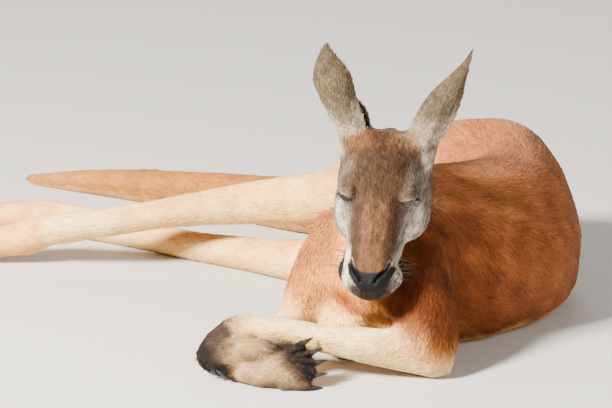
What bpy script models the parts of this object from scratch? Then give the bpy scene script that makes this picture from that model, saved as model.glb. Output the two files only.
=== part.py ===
"""A red kangaroo, life size, dozing on its left hip.

The hips and hind legs lie on their left side, the chest is propped up on the forearms and the
head hangs face down in front of it. The animal faces -Y, its belly and legs lie towards -X and
its tail runs back and away to -X +Y. The whole body is modelled as smooth forms that are fused
and then parted by thin cuts, so that each named part is one closed solid.

Metres, +Z up. It is modelled round the left elbow's place on the floor and moved at the end, so
that the origin is the middle of the bottom of its box.
"""

import math
from collections import namedtuple

import bmesh
import bpy
import numpy as np
from mathutils import Matrix, Quaternion, Vector

GAP = 0.0004
BODY_VOXEL = 0.006
HEAD_VOXEL = 0.0035
PAW_VOXEL = 0.0025
TUBE_SIDES = 20
REGION_SIDES = 10
REGION_GAP = 0.0012
RINGS_BETWEEN_STATIONS = 4
BODY_TRIANGLES = 1650
HEAD_TRIANGLES = 1300
HAND_TRIANGLES = 200
FOOT_TRIANGLES = 190
SLIVER_VOLUME = 5e-6

RUFOUS = (0.36, 0.13, 0.05)
ORANGE_TAN = (0.62, 0.31, 0.13)
CREAM = (0.80, 0.62, 0.45)
GREY_BROWN = (0.30, 0.22, 0.16)
EAR_GREY = (0.33, 0.27, 0.21)
CLAW_BLACK = (0.02, 0.018, 0.016)
NOSE_BLACK = (0.03, 0.027, 0.025)
EYE_BROWN = (0.02, 0.01, 0.006)

UP = Vector((0, 0, 1))

# A station of a body form: its middle, its half width across, its half depth and, for the
# trunk, how far its back has rolled from upright towards +X, in degrees.
Station = namedtuple("Station", "x y z across deep roll", defaults=(0.0,))

TRUNK = [
    Station(-0.104, 0.045, 0.128, 0.052, 0.056),
    Station(-0.098, 0.105, 0.130, 0.084, 0.104, 5),
    Station(-0.052, 0.172, 0.128, 0.106, 0.124, 15),
    Station(0.018, 0.230, 0.118, 0.118, 0.126, 35),
    Station(0.076, 0.302, 0.112, 0.122, 0.120, 58),
    Station(0.098, 0.390, 0.116, 0.124, 0.109, 72),
    Station(0.088, 0.480, 0.124, 0.126, 0.102, 80),
    Station(0.060, 0.553, 0.112, 0.108, 0.088, 85),
    Station(0.008, 0.612, 0.088, 0.080, 0.072, 88),
    Station(-0.055, 0.658, 0.068, 0.062, 0.058, 90),
]
TRUNK_SQUARENESS = 0.86
BELLY = [
    Station(-0.102, 0.096, 0.052, 0.058, 0.050),
    Station(-0.060, 0.165, 0.062, 0.076, 0.062),
    Station(-0.030, 0.186, 0.058, 0.092, 0.064),
    Station(0.022, 0.229, 0.056, 0.104, 0.064),
    Station(0.080, 0.301, 0.056, 0.112, 0.064),
    Station(0.100, 0.389, 0.056, 0.112, 0.064),
    Station(0.088, 0.479, 0.058, 0.107, 0.064),
    Station(0.060, 0.553, 0.058, 0.088, 0.060),
    Station(0.020, 0.596, 0.056, 0.068, 0.054),
]

TAIL = [
    Station(0.008, 0.612, 0.082, 0.072, 0.078),
    Station(-0.055, 0.658, 0.064, 0.059, 0.062),
    Station(-0.120, 0.697, 0.053, 0.051, 0.053),
    Station(-0.189, 0.738, 0.046, 0.045, 0.047),
    Station(-0.253, 0.783, 0.040, 0.040, 0.042),
    Station(-0.351, 0.863, 0.033, 0.033, 0.035),
    Station(-0.451, 0.924, 0.027, 0.028, 0.029),
    Station(-0.554, 0.984, 0.019, 0.021, 0.021),
    Station(-0.640, 1.033, 0.010, 0.012, 0.012),
    Station(-0.662, 1.045, 0.008, 0.006, 0.006),
]

NECK = [
    Station(-0.066, 0.160, 0.150, 0.088, 0.098),
    Station(-0.080, 0.142, 0.205, 0.075, 0.080),
    Station(-0.092, 0.108, 0.250, 0.063, 0.063),
    Station(-0.098, 0.074, 0.272, 0.050, 0.048),
]

ARM_LEFT = [
    Station(-0.056, 0.120, 0.165, 0.055, 0.062),
    Station(-0.048, 0.075, 0.130, 0.052, 0.054),
    Station(-0.036, 0.040, 0.088, 0.049, 0.046),
    Station(-0.026, 0.018, 0.050, 0.044, 0.038),
    Station(-0.022, 0.008, 0.030, 0.034, 0.030),
]
FOREARM_LEFT = [
    Station(0.006, 0.012, 0.032, 0.017, 0.018),
    Station(-0.004, 0.011, 0.032, 0.028, 0.029),
    Station(-0.022, 0.009, 0.034, 0.034, 0.034),
    Station(-0.070, 0.002, 0.041, 0.029, 0.030),
    Station(-0.150, -0.002, 0.052, 0.023, 0.023),
    Station(-0.215, 0.006, 0.063, 0.020, 0.020),
    Station(-0.262, 0.012, 0.068, 0.021, 0.019),
    Station(-0.290, 0.016, 0.062, 0.021, 0.018),
]

ARM_RIGHT = [
    Station(-0.130, 0.125, 0.168, 0.050, 0.058),
    Station(-0.160, 0.122, 0.132, 0.046, 0.050),
    Station(-0.180, 0.136, 0.092, 0.043, 0.046),
    Station(-0.196, 0.155, 0.055, 0.038, 0.038),
    Station(-0.200, 0.163, 0.036, 0.034, 0.032),
]
FOREARM_RIGHT = [
    Station(-0.200, 0.165, 0.036, 0.033, 0.036),
    Station(-0.222, 0.125, 0.032, 0.028, 0.030),
    Station(-0.250, 0.075, 0.025, 0.022, 0.023),
    Station(-0.272, 0.035, 0.021, 0.020, 0.019),
    Station(-0.282, 0.008, 0.020, 0.021, 0.018),
    Station(-0.276, -0.012, 0.020, 0.021, 0.017),
]

THIGH_RIGHT = [
    Station(0.105, 0.470, 0.150, 0.088, 0.092),
    Station(0.050, 0.470, 0.160, 0.092, 0.092),
    Station(-0.020, 0.468, 0.157, 0.082, 0.080),
    Station(-0.085, 0.464, 0.146, 0.066, 0.064),
    Station(-0.140, 0.462, 0.136, 0.050, 0.050),
]
SHANK_RIGHT = [
    Station(-0.120, 0.460, 0.138, 0.050, 0.050),
    Station(-0.160, 0.466, 0.132, 0.043, 0.043),
    Station(-0.204, 0.487, 0.121, 0.038, 0.039),
    Station(-0.280, 0.514, 0.108, 0.034, 0.034),
    Station(-0.355, 0.517, 0.098, 0.028, 0.028),
    Station(-0.430, 0.515, 0.088, 0.024, 0.024),
    Station(-0.506, 0.520, 0.074, 0.025, 0.024),
    Station(-0.580, 0.548, 0.056, 0.028, 0.026),
    Station(-0.625, 0.560, 0.048, 0.028, 0.026),
]

THIGH_LEFT = [
    Station(0.095, 0.455, 0.080, 0.078, 0.085),
    Station(0.035, 0.445, 0.070, 0.074, 0.074),
    Station(-0.035, 0.425, 0.059, 0.060, 0.060),
    Station(-0.090, 0.410, 0.050, 0.050, 0.050),
    Station(-0.135, 0.410, 0.043, 0.043, 0.043),
]
SHANK_LEFT = [
    Station(-0.115, 0.402, 0.046, 0.046, 0.045),
    Station(-0.155, 0.424, 0.039, 0.040, 0.040),
    Station(-0.204, 0.464, 0.032, 0.034, 0.033),
    Station(-0.279, 0.523, 0.026, 0.027, 0.027),
    Station(-0.355, 0.574, 0.023, 0.024, 0.024),
    Station(-0.435, 0.634, 0.022, 0.023, 0.023),
    Station(-0.510, 0.686, 0.024, 0.025, 0.025),
    Station(-0.565, 0.715, 0.026, 0.029, 0.027),
    Station(-0.610, 0.727, 0.027, 0.029, 0.027),
]

# The head's own frame: from the back of the skull down to the nose, towards its left side and
# out of the forehead. A point in it is (along, aside, out).
HEAD_POLL = Vector((-0.090, 0.045, 0.333))
HEAD_AHEAD = Vector((-0.125, -0.465, -0.876)).normalized()
HEAD_TURN = 8


def head_axes():
    """Ahead to the nose, to the animal's left, and out of the forehead."""
    out = Vector((-math.sin(math.radians(HEAD_TURN)), -0.87, 0.47))
    left = out.cross(HEAD_AHEAD).normalized()
    return HEAD_AHEAD, left, HEAD_AHEAD.cross(left).normalized()


def head_point(along, aside, out):
    """A place in the head's frame, in the model's."""
    ahead, left, face = head_axes()
    return HEAD_POLL + ahead * along + left * aside + face * out


def smooth_rows(rows, between):
    """Catmull-Rom through rows of numbers, with so many steps between neighbours."""
    rows = [np.array(row, float) for row in rows]
    ends = [2 * rows[0] - rows[1]] + rows + [2 * rows[-1] - rows[-2]]
    result = []
    for a, b, c, d in zip(ends, ends[1:], ends[2:], ends[3:]):
        for step in range(between):
            t = step / between
            result.append(
                0.5 * (2 * b + (c - a) * t + (2 * a - 5 * b + 4 * c - d) * t**2)
                + 0.5 * (3 * b - a - 3 * c + d) * t**3
            )
    result.append(rows[-1])
    return result


def ring_axes(places, i, roll):
    """Side and back directions of the ring at place i of a curved form."""
    before, after = places[max(i - 1, 0)], places[min(i + 1, len(places) - 1)]
    along = (after - before).normalized()
    flat = along.cross(UP)
    flat = flat.normalized() if flat.length > 0.05 else Vector((1, 0, 0))
    rise = flat.cross(along).normalized()
    angle = math.radians(roll)
    back = rise * math.cos(angle) + flat * math.sin(angle)
    return along.cross(back).normalized(), back


def add_rings(mesh, rings, round_end=0.5):
    """Skins closed rings of points into one shell and closes both ends with a low dome."""
    layers = [[mesh.verts.new(point) for point in ring] for ring in rings]
    count = len(layers[0])
    for low, high in zip(layers, layers[1:]):
        for i in range(count):
            j = (i + 1) % count
            mesh.faces.new((low[i], low[j], high[j], high[i]))
    for layer, inner in ((layers[0], layers[1]), (layers[-1], layers[-2])):
        middle = sum((v.co for v in layer), Vector()) / count
        inward = sum((v.co for v in inner), Vector()) / count - middle
        reach = round_end * sum((v.co - middle).length for v in layer) / count
        tip = mesh.verts.new(middle - inward.normalized() * reach)
        for i in range(count):
            mesh.faces.new((layer[i], layer[(i + 1) % count], tip))


def bulged(value, squareness):
    """A sine or cosine drawn towards 1 and -1, for rings between an ellipse and a box."""
    return math.copysign(abs(value) ** squareness, value)


def add_form(mesh, stations, sides=TUBE_SIDES, between=RINGS_BETWEEN_STATIONS, squareness=1.0):
    """A tube with oval rings through the stations."""
    rows = smooth_rows(stations, between)
    places = [Vector(row[:3]) for row in rows]
    rings = []
    for i, row in enumerate(rows):
        side, back = ring_axes(places, i, row[5])
        ring = []
        for k in range(sides):
            angle = 2 * math.pi * k / sides
            across = row[3] * bulged(math.cos(angle), squareness)
            deep = row[4] * bulged(math.sin(angle), squareness)
            ring.append(places[i] + side * across + back * deep)
        rings.append(ring)
    add_rings(mesh, rings)


def add_blob(mesh, middle, axes, radii, segments=20):
    """An ellipsoid with its half sizes along three directions."""
    turned = Matrix([axis * radius for axis, radius in zip(axes, radii)]).transposed().to_4x4()
    bmesh.ops.create_uvsphere(
        mesh,
        u_segments=segments,
        v_segments=segments // 2,
        radius=1,
        matrix=Matrix.Translation(middle) @ turned,
    )


def to_object(mesh, name, turn_outwards=True):
    """A bmesh as an object of the scene, with its faces turned outwards."""
    if turn_outwards:
        bmesh.ops.recalc_face_normals(mesh, faces=mesh.faces)
    data = bpy.data.meshes.new(name)
    mesh.to_mesh(data)
    mesh.free()
    made = bpy.data.objects.new(name, data)
    bpy.context.scene.collection.objects.link(made)
    return made


def settle(made):
    """Replaces an object's mesh by what its modifiers make of it."""
    graph = bpy.context.evaluated_depsgraph_get()
    data = bpy.data.meshes.new_from_object(made.evaluated_get(graph))
    made.modifiers.clear()
    old = made.data
    made.data = data
    bpy.data.meshes.remove(old)
    return made


def fuse(made, voxel, smoothing, triangles):
    """Makes one even skin of overlapping shells, smooths it and brings it to so many triangles."""
    remesh = made.modifiers.new("Fuse", "REMESH")
    remesh.mode = "VOXEL"
    remesh.voxel_size = voxel
    smooth = made.modifiers.new("Smooth", "SMOOTH")
    smooth.factor = 0.5
    smooth.iterations = smoothing
    settle(made)
    thin = made.modifiers.new("Thin", "DECIMATE")
    thin.ratio = triangles / (2 * len(made.data.polygons))
    return settle(made)


def cut(made, cutter, keep="DIFFERENCE"):
    """Cuts an object by another, which is then removed. Where EXACT gives nothing, MANIFOLD cuts."""
    uncut = made.data.copy()
    for solver in ("EXACT", "MANIFOLD"):
        made.data = uncut.copy()
        boolean = made.modifiers.new("Cut", "BOOLEAN")
        boolean.operation = keep
        boolean.solver = solver
        boolean.object = cutter
        settle(made)
        if made.data.vertices:
            break
    bpy.data.meshes.remove(uncut)
    bpy.data.objects.remove(cutter)
    return made


def plate(middle, normal, half_width, thickness):
    """A square plate across a direction, for a cutter."""
    mesh = bmesh.new()
    turn = Vector(normal).normalized().to_track_quat("Z", "Y").to_matrix().to_4x4()
    size = Matrix.Diagonal((2 * half_width, 2 * half_width, thickness, 1))
    bmesh.ops.create_cube(mesh, size=1, matrix=Matrix.Translation(middle) @ turn @ size)
    return to_object(mesh, "plate")


def part_by(made, middle, normal, half_width):
    """Parts a form by a thin cut across a direction."""
    return cut(made, plate(Vector(middle), normal, half_width, GAP))


def trim(made, middle, normal, half_width, depth=0.3):
    """Takes away what lies beyond a plane, within a square column along its normal."""
    direction = Vector(normal).normalized()
    place = Vector(middle) + direction * (depth - GAP) / 2
    return cut(made, plate(place, direction, half_width, depth))


def grown(stations, by):
    """Stations of a tube fatter by an amount all round and longer by it at both ends."""
    wider = [s._replace(across=s.across + by, deep=s.deep + by) for s in stations]
    for end, inner in ((0, 1), (-1, -2)):
        here, other = wider[end], wider[inner]
        away = (Vector(here[:3]) - Vector(other[:3])).normalized() * by
        wider[end] = here._replace(x=here.x + away.x, y=here.y + away.y, z=here.z + away.z)
    return wider


def take(made, stations, margin, name):
    """Takes out of a form what lies in a convex region round the stations, as an object."""
    piece = made.copy()
    piece.data = made.data.copy()
    bpy.context.scene.collection.objects.link(piece)
    piece.name = name
    for target, grow, keep in ((piece, 0, "INTERSECT"), (made, REGION_GAP, "DIFFERENCE")):
        tube, region = bmesh.new(), bmesh.new()
        add_form(tube, grown(stations, margin + grow), REGION_SIDES, 1)
        corners = [region.verts.new(vert.co) for vert in tube.verts]
        tube.free()
        hull = bmesh.ops.convex_hull(region, input=corners)
        spare = set(hull["geom_interior"]) | set(hull["geom_unused"])
        loose = [item for item in spare if isinstance(item, bmesh.types.BMVert)]
        bmesh.ops.delete(region, geom=loose, context="VERTS")
        cut(target, to_object(region, "region"), keep)
    return piece


def islands(made):
    """The loose shells of an object, each a new object; the object itself is removed."""
    mesh = bmesh.new()
    mesh.from_mesh(made.data)
    left = set(mesh.faces)
    pieces = []
    while left:
        found, front = set(), [left.pop()]
        while front:
            face = front.pop()
            found.add(face)
            for edge in face.edges:
                for other in edge.link_faces:
                    if other in left:
                        left.discard(other)
                        front.append(other)
        pieces.append(found)
    result = []
    for found in pieces:
        piece = bmesh.new()
        copies = {}
        for face in found:
            for vert in face.verts:
                if vert not in copies:
                    copies[vert] = piece.verts.new(vert.co)
            piece.faces.new([copies[vert] for vert in face.verts])
        result.append(to_object(piece, "piece", turn_outwards=False))
    mesh.free()
    bpy.data.objects.remove(made)
    return result


def middle_of(made):
    """The mean of an object's corners."""
    return sum((v.co for v in made.data.vertices), Vector()) / len(made.data.vertices)


def volume_of(made):
    """How much a closed object holds."""
    mesh = bmesh.new()
    mesh.from_mesh(made.data)
    volume = mesh.calc_volume()
    mesh.free()
    return volume


def name_pieces(made, places):
    """Splits an object into its loose shells and names each by the place nearest its middle."""
    pieces = []
    for piece in islands(made):
        if volume_of(piece) > SLIVER_VOLUME:
            pieces.append(piece)
        else:
            bpy.data.objects.remove(piece)
    named = {}
    for name, place in places.items():
        nearest = min(pieces, key=lambda piece: (middle_of(piece) - Vector(place)).length)
        pieces.remove(nearest)
        nearest.name = name
        named[name] = nearest
    if pieces:
        sizes = [tuple(round(x, 3) for x in middle_of(piece)) for piece in pieces]
        raise ValueError(f"pieces with no name at {sizes}")
    return named


def paint(made, name, colour, roughness):
    """Gives a node its material."""
    material = bpy.data.materials.new(name)
    material.use_nodes = True
    shader = material.node_tree.nodes["Principled BSDF"]
    shader.inputs["Base Color"].default_value = (*colour, 1)
    shader.inputs["Roughness"].default_value = roughness
    made.data.materials.clear()
    made.data.materials.append(material)


# The head, in its own frame: rows of (along, aside, out, half width, half depth).
SKULL = [
    (-0.008, 0, -0.062, 0.036, 0.034),
    (0.012, 0, -0.060, 0.053, 0.050),
    (0.045, 0, -0.058, 0.059, 0.057),
    (0.078, 0, -0.057, 0.059, 0.057),
    (0.105, 0, -0.054, 0.052, 0.051),
    (0.128, 0, -0.050, 0.044, 0.044),
    (0.152, 0, -0.046, 0.039, 0.037),
    (0.180, 0, -0.042, 0.038, 0.031),
    (0.201, 0, -0.040, 0.035, 0.028),
    (0.216, 0, -0.040, 0.026, 0.021),
]
HEAD_SQUARENESS = 0.85
JAW = [
    (0.050, 0, -0.098, 0.042, 0.030),
    (0.096, 0, -0.096, 0.037, 0.026),
    (0.134, 0, -0.084, 0.029, 0.021),
    (0.172, 0, -0.073, 0.025, 0.017),
    (0.200, 0, -0.066, 0.020, 0.012),
]
# Round forms on each side of the head: a middle (along, aside, out) and half sizes.
CHEEK = ((0.086, 0.041, -0.068), (0.054, 0.026, 0.042))
BROW = ((0.076, 0.037, -0.021), (0.027, 0.018, 0.016))
LIP = ((0.181, 0.024, -0.047), (0.031, 0.020, 0.018))

EYE_PLACE = (0.084, 0.0385, -0.0185)
EYE_RADIUS = 0.0125
NOSE_PLACE = (0.195, 0, -0.021)
NOSE_SIZE = (0.023, 0.028, 0.024)
MOUTH_LINE = [(0.240, -0.057), (0.195, -0.058), (0.148, -0.061), (0.118, -0.078), (0.102, -0.150)]

EAR_LENGTH = {"left": 0.136, "right": 0.126}
EAR_WALL = 0.0038
EAR_ROOT_RISE = 0.018
EAR_ROOT_RADII = (0.037, 0.031, 0.022)
# Up the ear: how far, half width, depth and half the arc of its rolled section, in degrees.
# The left ear is turned edge-on and rolled tighter than the right one.
EAR_ROWS = {
    "left": [
        (0.00, 0.0240, 0.0240, 160),
        (0.20, 0.0270, 0.0250, 142),
        (0.40, 0.0275, 0.0235, 126),
        (0.62, 0.0220, 0.0165, 115),
        (0.84, 0.0115, 0.0080, 100),
        (1.00, 0.0028, 0.0028, 80),
    ],
    "right": [
        (0.00, 0.0240, 0.0240, 160),
        (0.20, 0.0300, 0.0275, 142),
        (0.40, 0.0350, 0.0290, 120),
        (0.62, 0.0340, 0.0250, 102),
        (0.84, 0.0165, 0.0120, 90),
        (1.00, 0.0035, 0.0035, 80),
    ],
}
# Each ear leans away from its straight axis as it rises, most of all at three quarters of its length.
EAR_BOW = {"left": 0.0055, "right": -0.0065}
EAR_BOW_SHAPE = 9.5
EAR_ARC_POINTS = 7


def add_head_form(mesh, rows):
    """A tube through rows given in the head's frame, with rings across its length."""
    _, left, face = head_axes()
    rings = []
    for along, aside, out, width, depth in smooth_rows(rows, 3):
        ring = []
        for k in range(TUBE_SIDES):
            angle = 2 * math.pi * k / TUBE_SIDES
            middle = head_point(along, aside, out)
            across = width * bulged(math.cos(angle), HEAD_SQUARENESS)
            deep = depth * bulged(math.sin(angle), HEAD_SQUARENESS)
            ring.append(middle + left * across + face * deep)
        rings.append(ring)
    add_rings(mesh, rings)


def ear_base(side):
    """Middle of the ear's root: side is 1 for the left ear and -1 for the right."""
    return head_point(0.008, side * 0.039, -0.050)


EAR_AXIS = {
    "left": Vector((0.49, 0.10, 0.86)).normalized(),
    "right": Vector((-0.31, 0.10, 0.945)).normalized(),
}
# Which way each ear opens at its root and at its tip, in degrees from +X towards +Y.
EAR_OPENS = {"left": (30, 3), "right": (-18, 68)}


def make_ear(side_name, side):
    """A rolled leaf of skin, open along one side, that stands on its root."""
    axis = EAR_AXIS[side_name]
    base = ear_base(side) + axis * (EAR_ROOT_RISE + GAP)
    start, end = EAR_OPENS[side_name]
    mesh = bmesh.new()
    layers = []
    bow = Vector((EAR_BOW[side_name] * EAR_BOW_SHAPE, 0, 0))
    for up, width, depth, arc in smooth_rows(EAR_ROWS[side_name], 2):
        turn = up * up * (3 - 2 * up)
        angle = math.radians(start + (end - start) * turn)
        opening = Vector((math.cos(angle), math.sin(angle), 0))
        opening = (opening - axis * opening.dot(axis)).normalized()
        across = axis.cross(opening)
        middle = base + axis * EAR_LENGTH[side_name] * up + bow * up**3 * (1 - up)
        wall = min(EAR_WALL, 0.6 * min(width, depth))
        outer, inner = [], []
        for k in range(EAR_ARC_POINTS + 1):
            beta = math.radians(arc) * (2 * k / EAR_ARC_POINTS - 1)
            for layer, inset in ((outer, 0), (inner, wall)):
                aside = across * (width - inset) * math.sin(beta)
                back = opening * (depth - inset) * math.cos(beta)
                layer.append(mesh.verts.new(middle + aside - back))
        layers.append(outer + inner[::-1])
    count = len(layers[0])
    for low, high in zip(layers, layers[1:]):
        for i in range(count):
            j = (i + 1) % count
            mesh.faces.new((low[i], low[j], high[j], high[i]))
    for layer in (layers[0], layers[-1]):
        for i in range(EAR_ARC_POINTS):
            mesh.faces.new((layer[i], layer[i + 1], layer[count - 2 - i], layer[count - 1 - i]))
    return to_object(mesh, f"ear_{side_name}")


def make_ribbon(profile, half_width):
    """A thin sheet across the head along a profile of (along, out) points, for a cutter."""
    mesh = bmesh.new()
    rows = []
    for i, (along, out) in enumerate(profile):
        before, after = profile[max(i - 1, 0)], profile[min(i + 1, len(profile) - 1)]
        run = Vector((after[0] - before[0], after[1] - before[1])).normalized()
        row = []
        for side, lift in ((-1, -1), (1, -1), (1, 1), (-1, 1)):
            offset = Vector((-run.y, run.x)) * lift * GAP / 2
            row.append(mesh.verts.new(head_point(along + offset.x, side * half_width, out + offset.y)))
        rows.append(row)
    for low, high in zip(rows, rows[1:]):
        for i in range(4):
            j = (i + 1) % 4
            mesh.faces.new((low[i], low[j], high[j], high[i]))
    mesh.faces.new(rows[0])
    mesh.faces.new(rows[-1][::-1])
    return to_object(mesh, "ribbon")


def head_blob(mesh, place, radii, grow=0.0, segments=20):
    """An ellipsoid in the head's frame."""
    add_blob(mesh, head_point(*place), head_axes(), [r + grow for r in radii], segments)


def mirrored(place, side):
    """The same place on the head's other side."""
    return (place[0], side * place[1], place[2])


def blob_object(place, radii, grow, name, segments=20):
    """An ellipsoid in the head's frame as an object of its own."""
    mesh = bmesh.new()
    head_blob(mesh, place, radii, grow, segments)
    return to_object(mesh, name)


NECK_CUT = ((-0.080, 0.128, 0.228), (-0.10, -0.42, 0.90))
NECK_CUT_REACH = 0.15
HEAD_CUT_PLACE = (0.045, 0, -0.113)
HEAD_CUT_REACH = 0.09


def make_head():
    """Head, neck, lower jaw, nose pad, eyes and ears."""
    mesh = bmesh.new()
    add_head_form(mesh, SKULL)
    add_head_form(mesh, JAW)
    for side in (-1, 1):
        for place, radii in (CHEEK, BROW, LIP):
            head_blob(mesh, mirrored(place, side), radii)
    for side_name, side in (("left", 1), ("right", -1)):
        axis = EAR_AXIS[side_name]
        base = ear_base(side)
        rows = []
        for rise, radius in zip((-0.024, 0, 0.030), EAR_ROOT_RADII):
            rows.append((*(base + axis * rise), radius, radius, 0))
        add_form(mesh, rows, 16, 3)
    add_form(mesh, NECK)
    head = fuse(to_object(mesh, "head"), HEAD_VOXEL, 4, HEAD_TRIANGLES)
    trim(head, NECK_CUT[0], -Vector(NECK_CUT[1]), NECK_CUT_REACH)
    for side_name, side in (("left", 1), ("right", -1)):
        axis = EAR_AXIS[side_name]
        trim(head, ear_base(side) + axis * EAR_ROOT_RISE, axis, 0.032, 0.05)
    eyes = {}
    for side_name, side in (("left", 1), ("right", -1)):
        radii = [EYE_RADIUS] * 3
        place = mirrored(EYE_PLACE, side)
        cut(head, blob_object(place, radii, GAP, "socket", 12))
        eyes[f"eye_{side_name}"] = blob_object(place, radii, 0, f"eye_{side_name}", 12)
    nose = head.copy()
    nose.data = head.data.copy()
    bpy.context.scene.collection.objects.link(nose)
    nose.name = "nose_pad"
    cut(nose, blob_object(NOSE_PLACE, NOSE_SIZE, 0, "nose", 14), "INTERSECT")
    cut(head, blob_object(NOSE_PLACE, NOSE_SIZE, GAP, "nose", 14))
    cut(head, make_ribbon(MOUTH_LINE, 0.075))
    part_by(head, head_point(*HEAD_CUT_PLACE), head_axes()[2], HEAD_CUT_REACH)
    places = {
        "head": head_point(0.08, 0, -0.05),
        "neck": (-0.088, 0.118, 0.238),
        "lower_jaw": head_point(0.17, 0, -0.078),
    }
    nodes = name_pieces(head, places)
    nodes["nose_pad"] = nose
    nodes.update(eyes)
    for side_name, side in (("left", 1), ("right", -1)):
        nodes[f"ear_{side_name}"] = make_ear(side_name, side)
    return nodes


# Where the body is parted: a place on the cut, the direction across it and its half width.
BODY_CUTS = [
    ((-0.004, 0.228, 0.13), (0.62, 0.78, 0), 0.17),
    ((0.088, 0.372, 0.13), (0.22, 0.97, 0), 0.17),
    ((0.000, 0.617, 0.09), (-0.80, 0.60, -0.1), 0.11),
    ((-0.215, 0.758, 0.04), (-0.78, 0.62, -0.05), 0.07),
    ((-0.430, 0.920, 0.03), (-0.85, 0.53, -0.05), 0.06),
    ((-0.080, 0.445, 0.104), (0.0, 0.35, 0.94), 0.070),
    ((-0.037, 0.425, 0.030), (-1.0, 0.0, 0.0), 0.090),
    ((-0.037, 0.455, 0.165), (-1.0, 0.0, 0.0), 0.095),
    ((-0.142, 0.463, 0.136), (-1.0, 0.1, -0.15), 0.060),
    ((-0.138, 0.409, 0.044), (-1.0, 0.25, -0.1), 0.050),
    ((-0.022, 0.016, 0.042), (-0.72, -0.20, -0.65), 0.062),
    ((-0.204, 0.148, 0.048), (-0.30, -0.60, -0.72), 0.058),
]
WRIST_LEFT_CUT = ((-0.268, 0.012, 0.071), (-1, 0, -0.12), 0.035)
WRIST_RIGHT_CUT = ((-0.283, 0.012, 0.020), (0, -1, 0), 0.026)
ANKLE_RIGHT_CUT = ((-0.592, 0.552, 0.053), (-1, 0.2, -0.15), 0.045)
ANKLE_LEFT_CUT = ((-0.570, 0.714, 0.026), (-1, 0.3, 0), 0.045)
BODY_PLACES = {
    "chest": (-0.06, 0.15, 0.13),
    "waist": (0.05, 0.30, 0.12),
    "hips": (0.08, 0.50, 0.12),
    "tail_base": (-0.10, 0.69, 0.05),
    "tail_middle": (-0.32, 0.84, 0.03),
    "tail_tip": (-0.54, 0.98, 0.02),
    "thigh_right": (-0.06, 0.47, 0.15),
    "thigh_left": (-0.06, 0.40, 0.06),
    "shank_right": (-0.36, 0.51, 0.10),
    "shank_left": (-0.35, 0.53, 0.03),
    "forearm_left": (-0.13, 0.0, 0.05),
    "forearm_right": (-0.24, 0.09, 0.03),
}
ARM_MARGIN = 0.006
FLOOR_CUTTER_SIZE = 3.0


def floor_cutter():
    """A block whose top is the floor."""
    mesh = bmesh.new()
    size = Matrix.Diagonal((FLOOR_CUTTER_SIZE, FLOOR_CUTTER_SIZE, 0.2, 1))
    bmesh.ops.create_cube(mesh, size=1, matrix=Matrix.Translation((0, 0.5, -0.1)) @ size)
    return to_object(mesh, "floor")


def make_body():
    """Trunk, tail, arms and legs, fused, laid flat on the floor and parted."""
    mesh = bmesh.new()
    add_form(mesh, TRUNK, squareness=TRUNK_SQUARENESS)
    add_form(mesh, BELLY, squareness=TRUNK_SQUARENESS)
    for stations in (
        TAIL,
        NECK,
        ARM_LEFT,
        FOREARM_LEFT,
        ARM_RIGHT,
        FOREARM_RIGHT,
        THIGH_RIGHT,
        SHANK_RIGHT,
        THIGH_LEFT,
        SHANK_LEFT,
    ):
        add_form(mesh, stations)
    body = fuse(to_object(mesh, "body"), BODY_VOXEL, 5, BODY_TRIANGLES)
    trim(body, NECK_CUT[0], NECK_CUT[1], NECK_CUT_REACH)
    for place in (WRIST_LEFT_CUT, WRIST_RIGHT_CUT, ANKLE_RIGHT_CUT, ANKLE_LEFT_CUT):
        trim(body, *place, 0.06)
    cut(body, floor_cutter())
    for place in BODY_CUTS:
        part_by(body, *place)
    nodes = {}
    for name, stations in (("upper_arm_left", ARM_LEFT), ("upper_arm_right", ARM_RIGHT)):
        nodes[name] = take(body, stations, ARM_MARGIN, name)
    nodes.update(name_pieces(body, BODY_PLACES))
    return nodes


HAND_LEFT = [
    Station(-0.235, 0.009, 0.066, 0.020, 0.019),
    Station(-0.266, 0.012, 0.071, 0.0205, 0.0185),
    Station(-0.290, 0.010, 0.067, 0.023, 0.018),
    Station(-0.309, 0.002, 0.055, 0.027, 0.016),
    Station(-0.321, -0.006, 0.041, 0.028, 0.014),
]
HAND_RIGHT_WRIST = [
    Station(-0.281, 0.040, 0.021, 0.0205, 0.0185),
    Station(-0.283, 0.012, 0.021, 0.0210, 0.0190),
    Station(-0.278, -0.012, 0.022, 0.022, 0.0200),
]
HAND_RIGHT = [
    Station(-0.287, -0.006, 0.022, 0.024, 0.021, 20),
    Station(-0.268, -0.020, 0.025, 0.028, 0.020, 42),
    Station(-0.243, -0.032, 0.025, 0.029, 0.016, 58),
    Station(-0.218, -0.038, 0.026, 0.026, 0.012, 64),
]
FOOT_RIGHT = [
    Station(-0.560, 0.542, 0.060, 0.027, 0.026),
    Station(-0.592, 0.552, 0.053, 0.028, 0.027),
    Station(-0.620, 0.560, 0.042, 0.030, 0.027),
    Station(-0.660, 0.562, 0.034, 0.027, 0.023),
    Station(-0.710, 0.558, 0.028, 0.023, 0.020),
    Station(-0.770, 0.553, 0.024, 0.022, 0.018),
    Station(-0.825, 0.548, 0.022, 0.024, 0.017),
    Station(-0.850, 0.546, 0.020, 0.020, 0.014),
]
FOOT_LEFT = [
    Station(-0.535, 0.690, 0.025, 0.026, 0.026),
    Station(-0.570, 0.714, 0.026, 0.028, 0.027),
    Station(-0.600, 0.730, 0.028, 0.030, 0.028),
    Station(-0.640, 0.738, 0.028, 0.027, 0.025),
    Station(-0.690, 0.742, 0.026, 0.023, 0.022),
    Station(-0.750, 0.746, 0.023, 0.021, 0.020),
    Station(-0.805, 0.750, 0.022, 0.020, 0.021),
    Station(-0.830, 0.752, 0.021, 0.016, 0.018),
]
DIGIT_SIDES = 10
CLAW_SIDES = 6
CLAW_RINGS = 3


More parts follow.
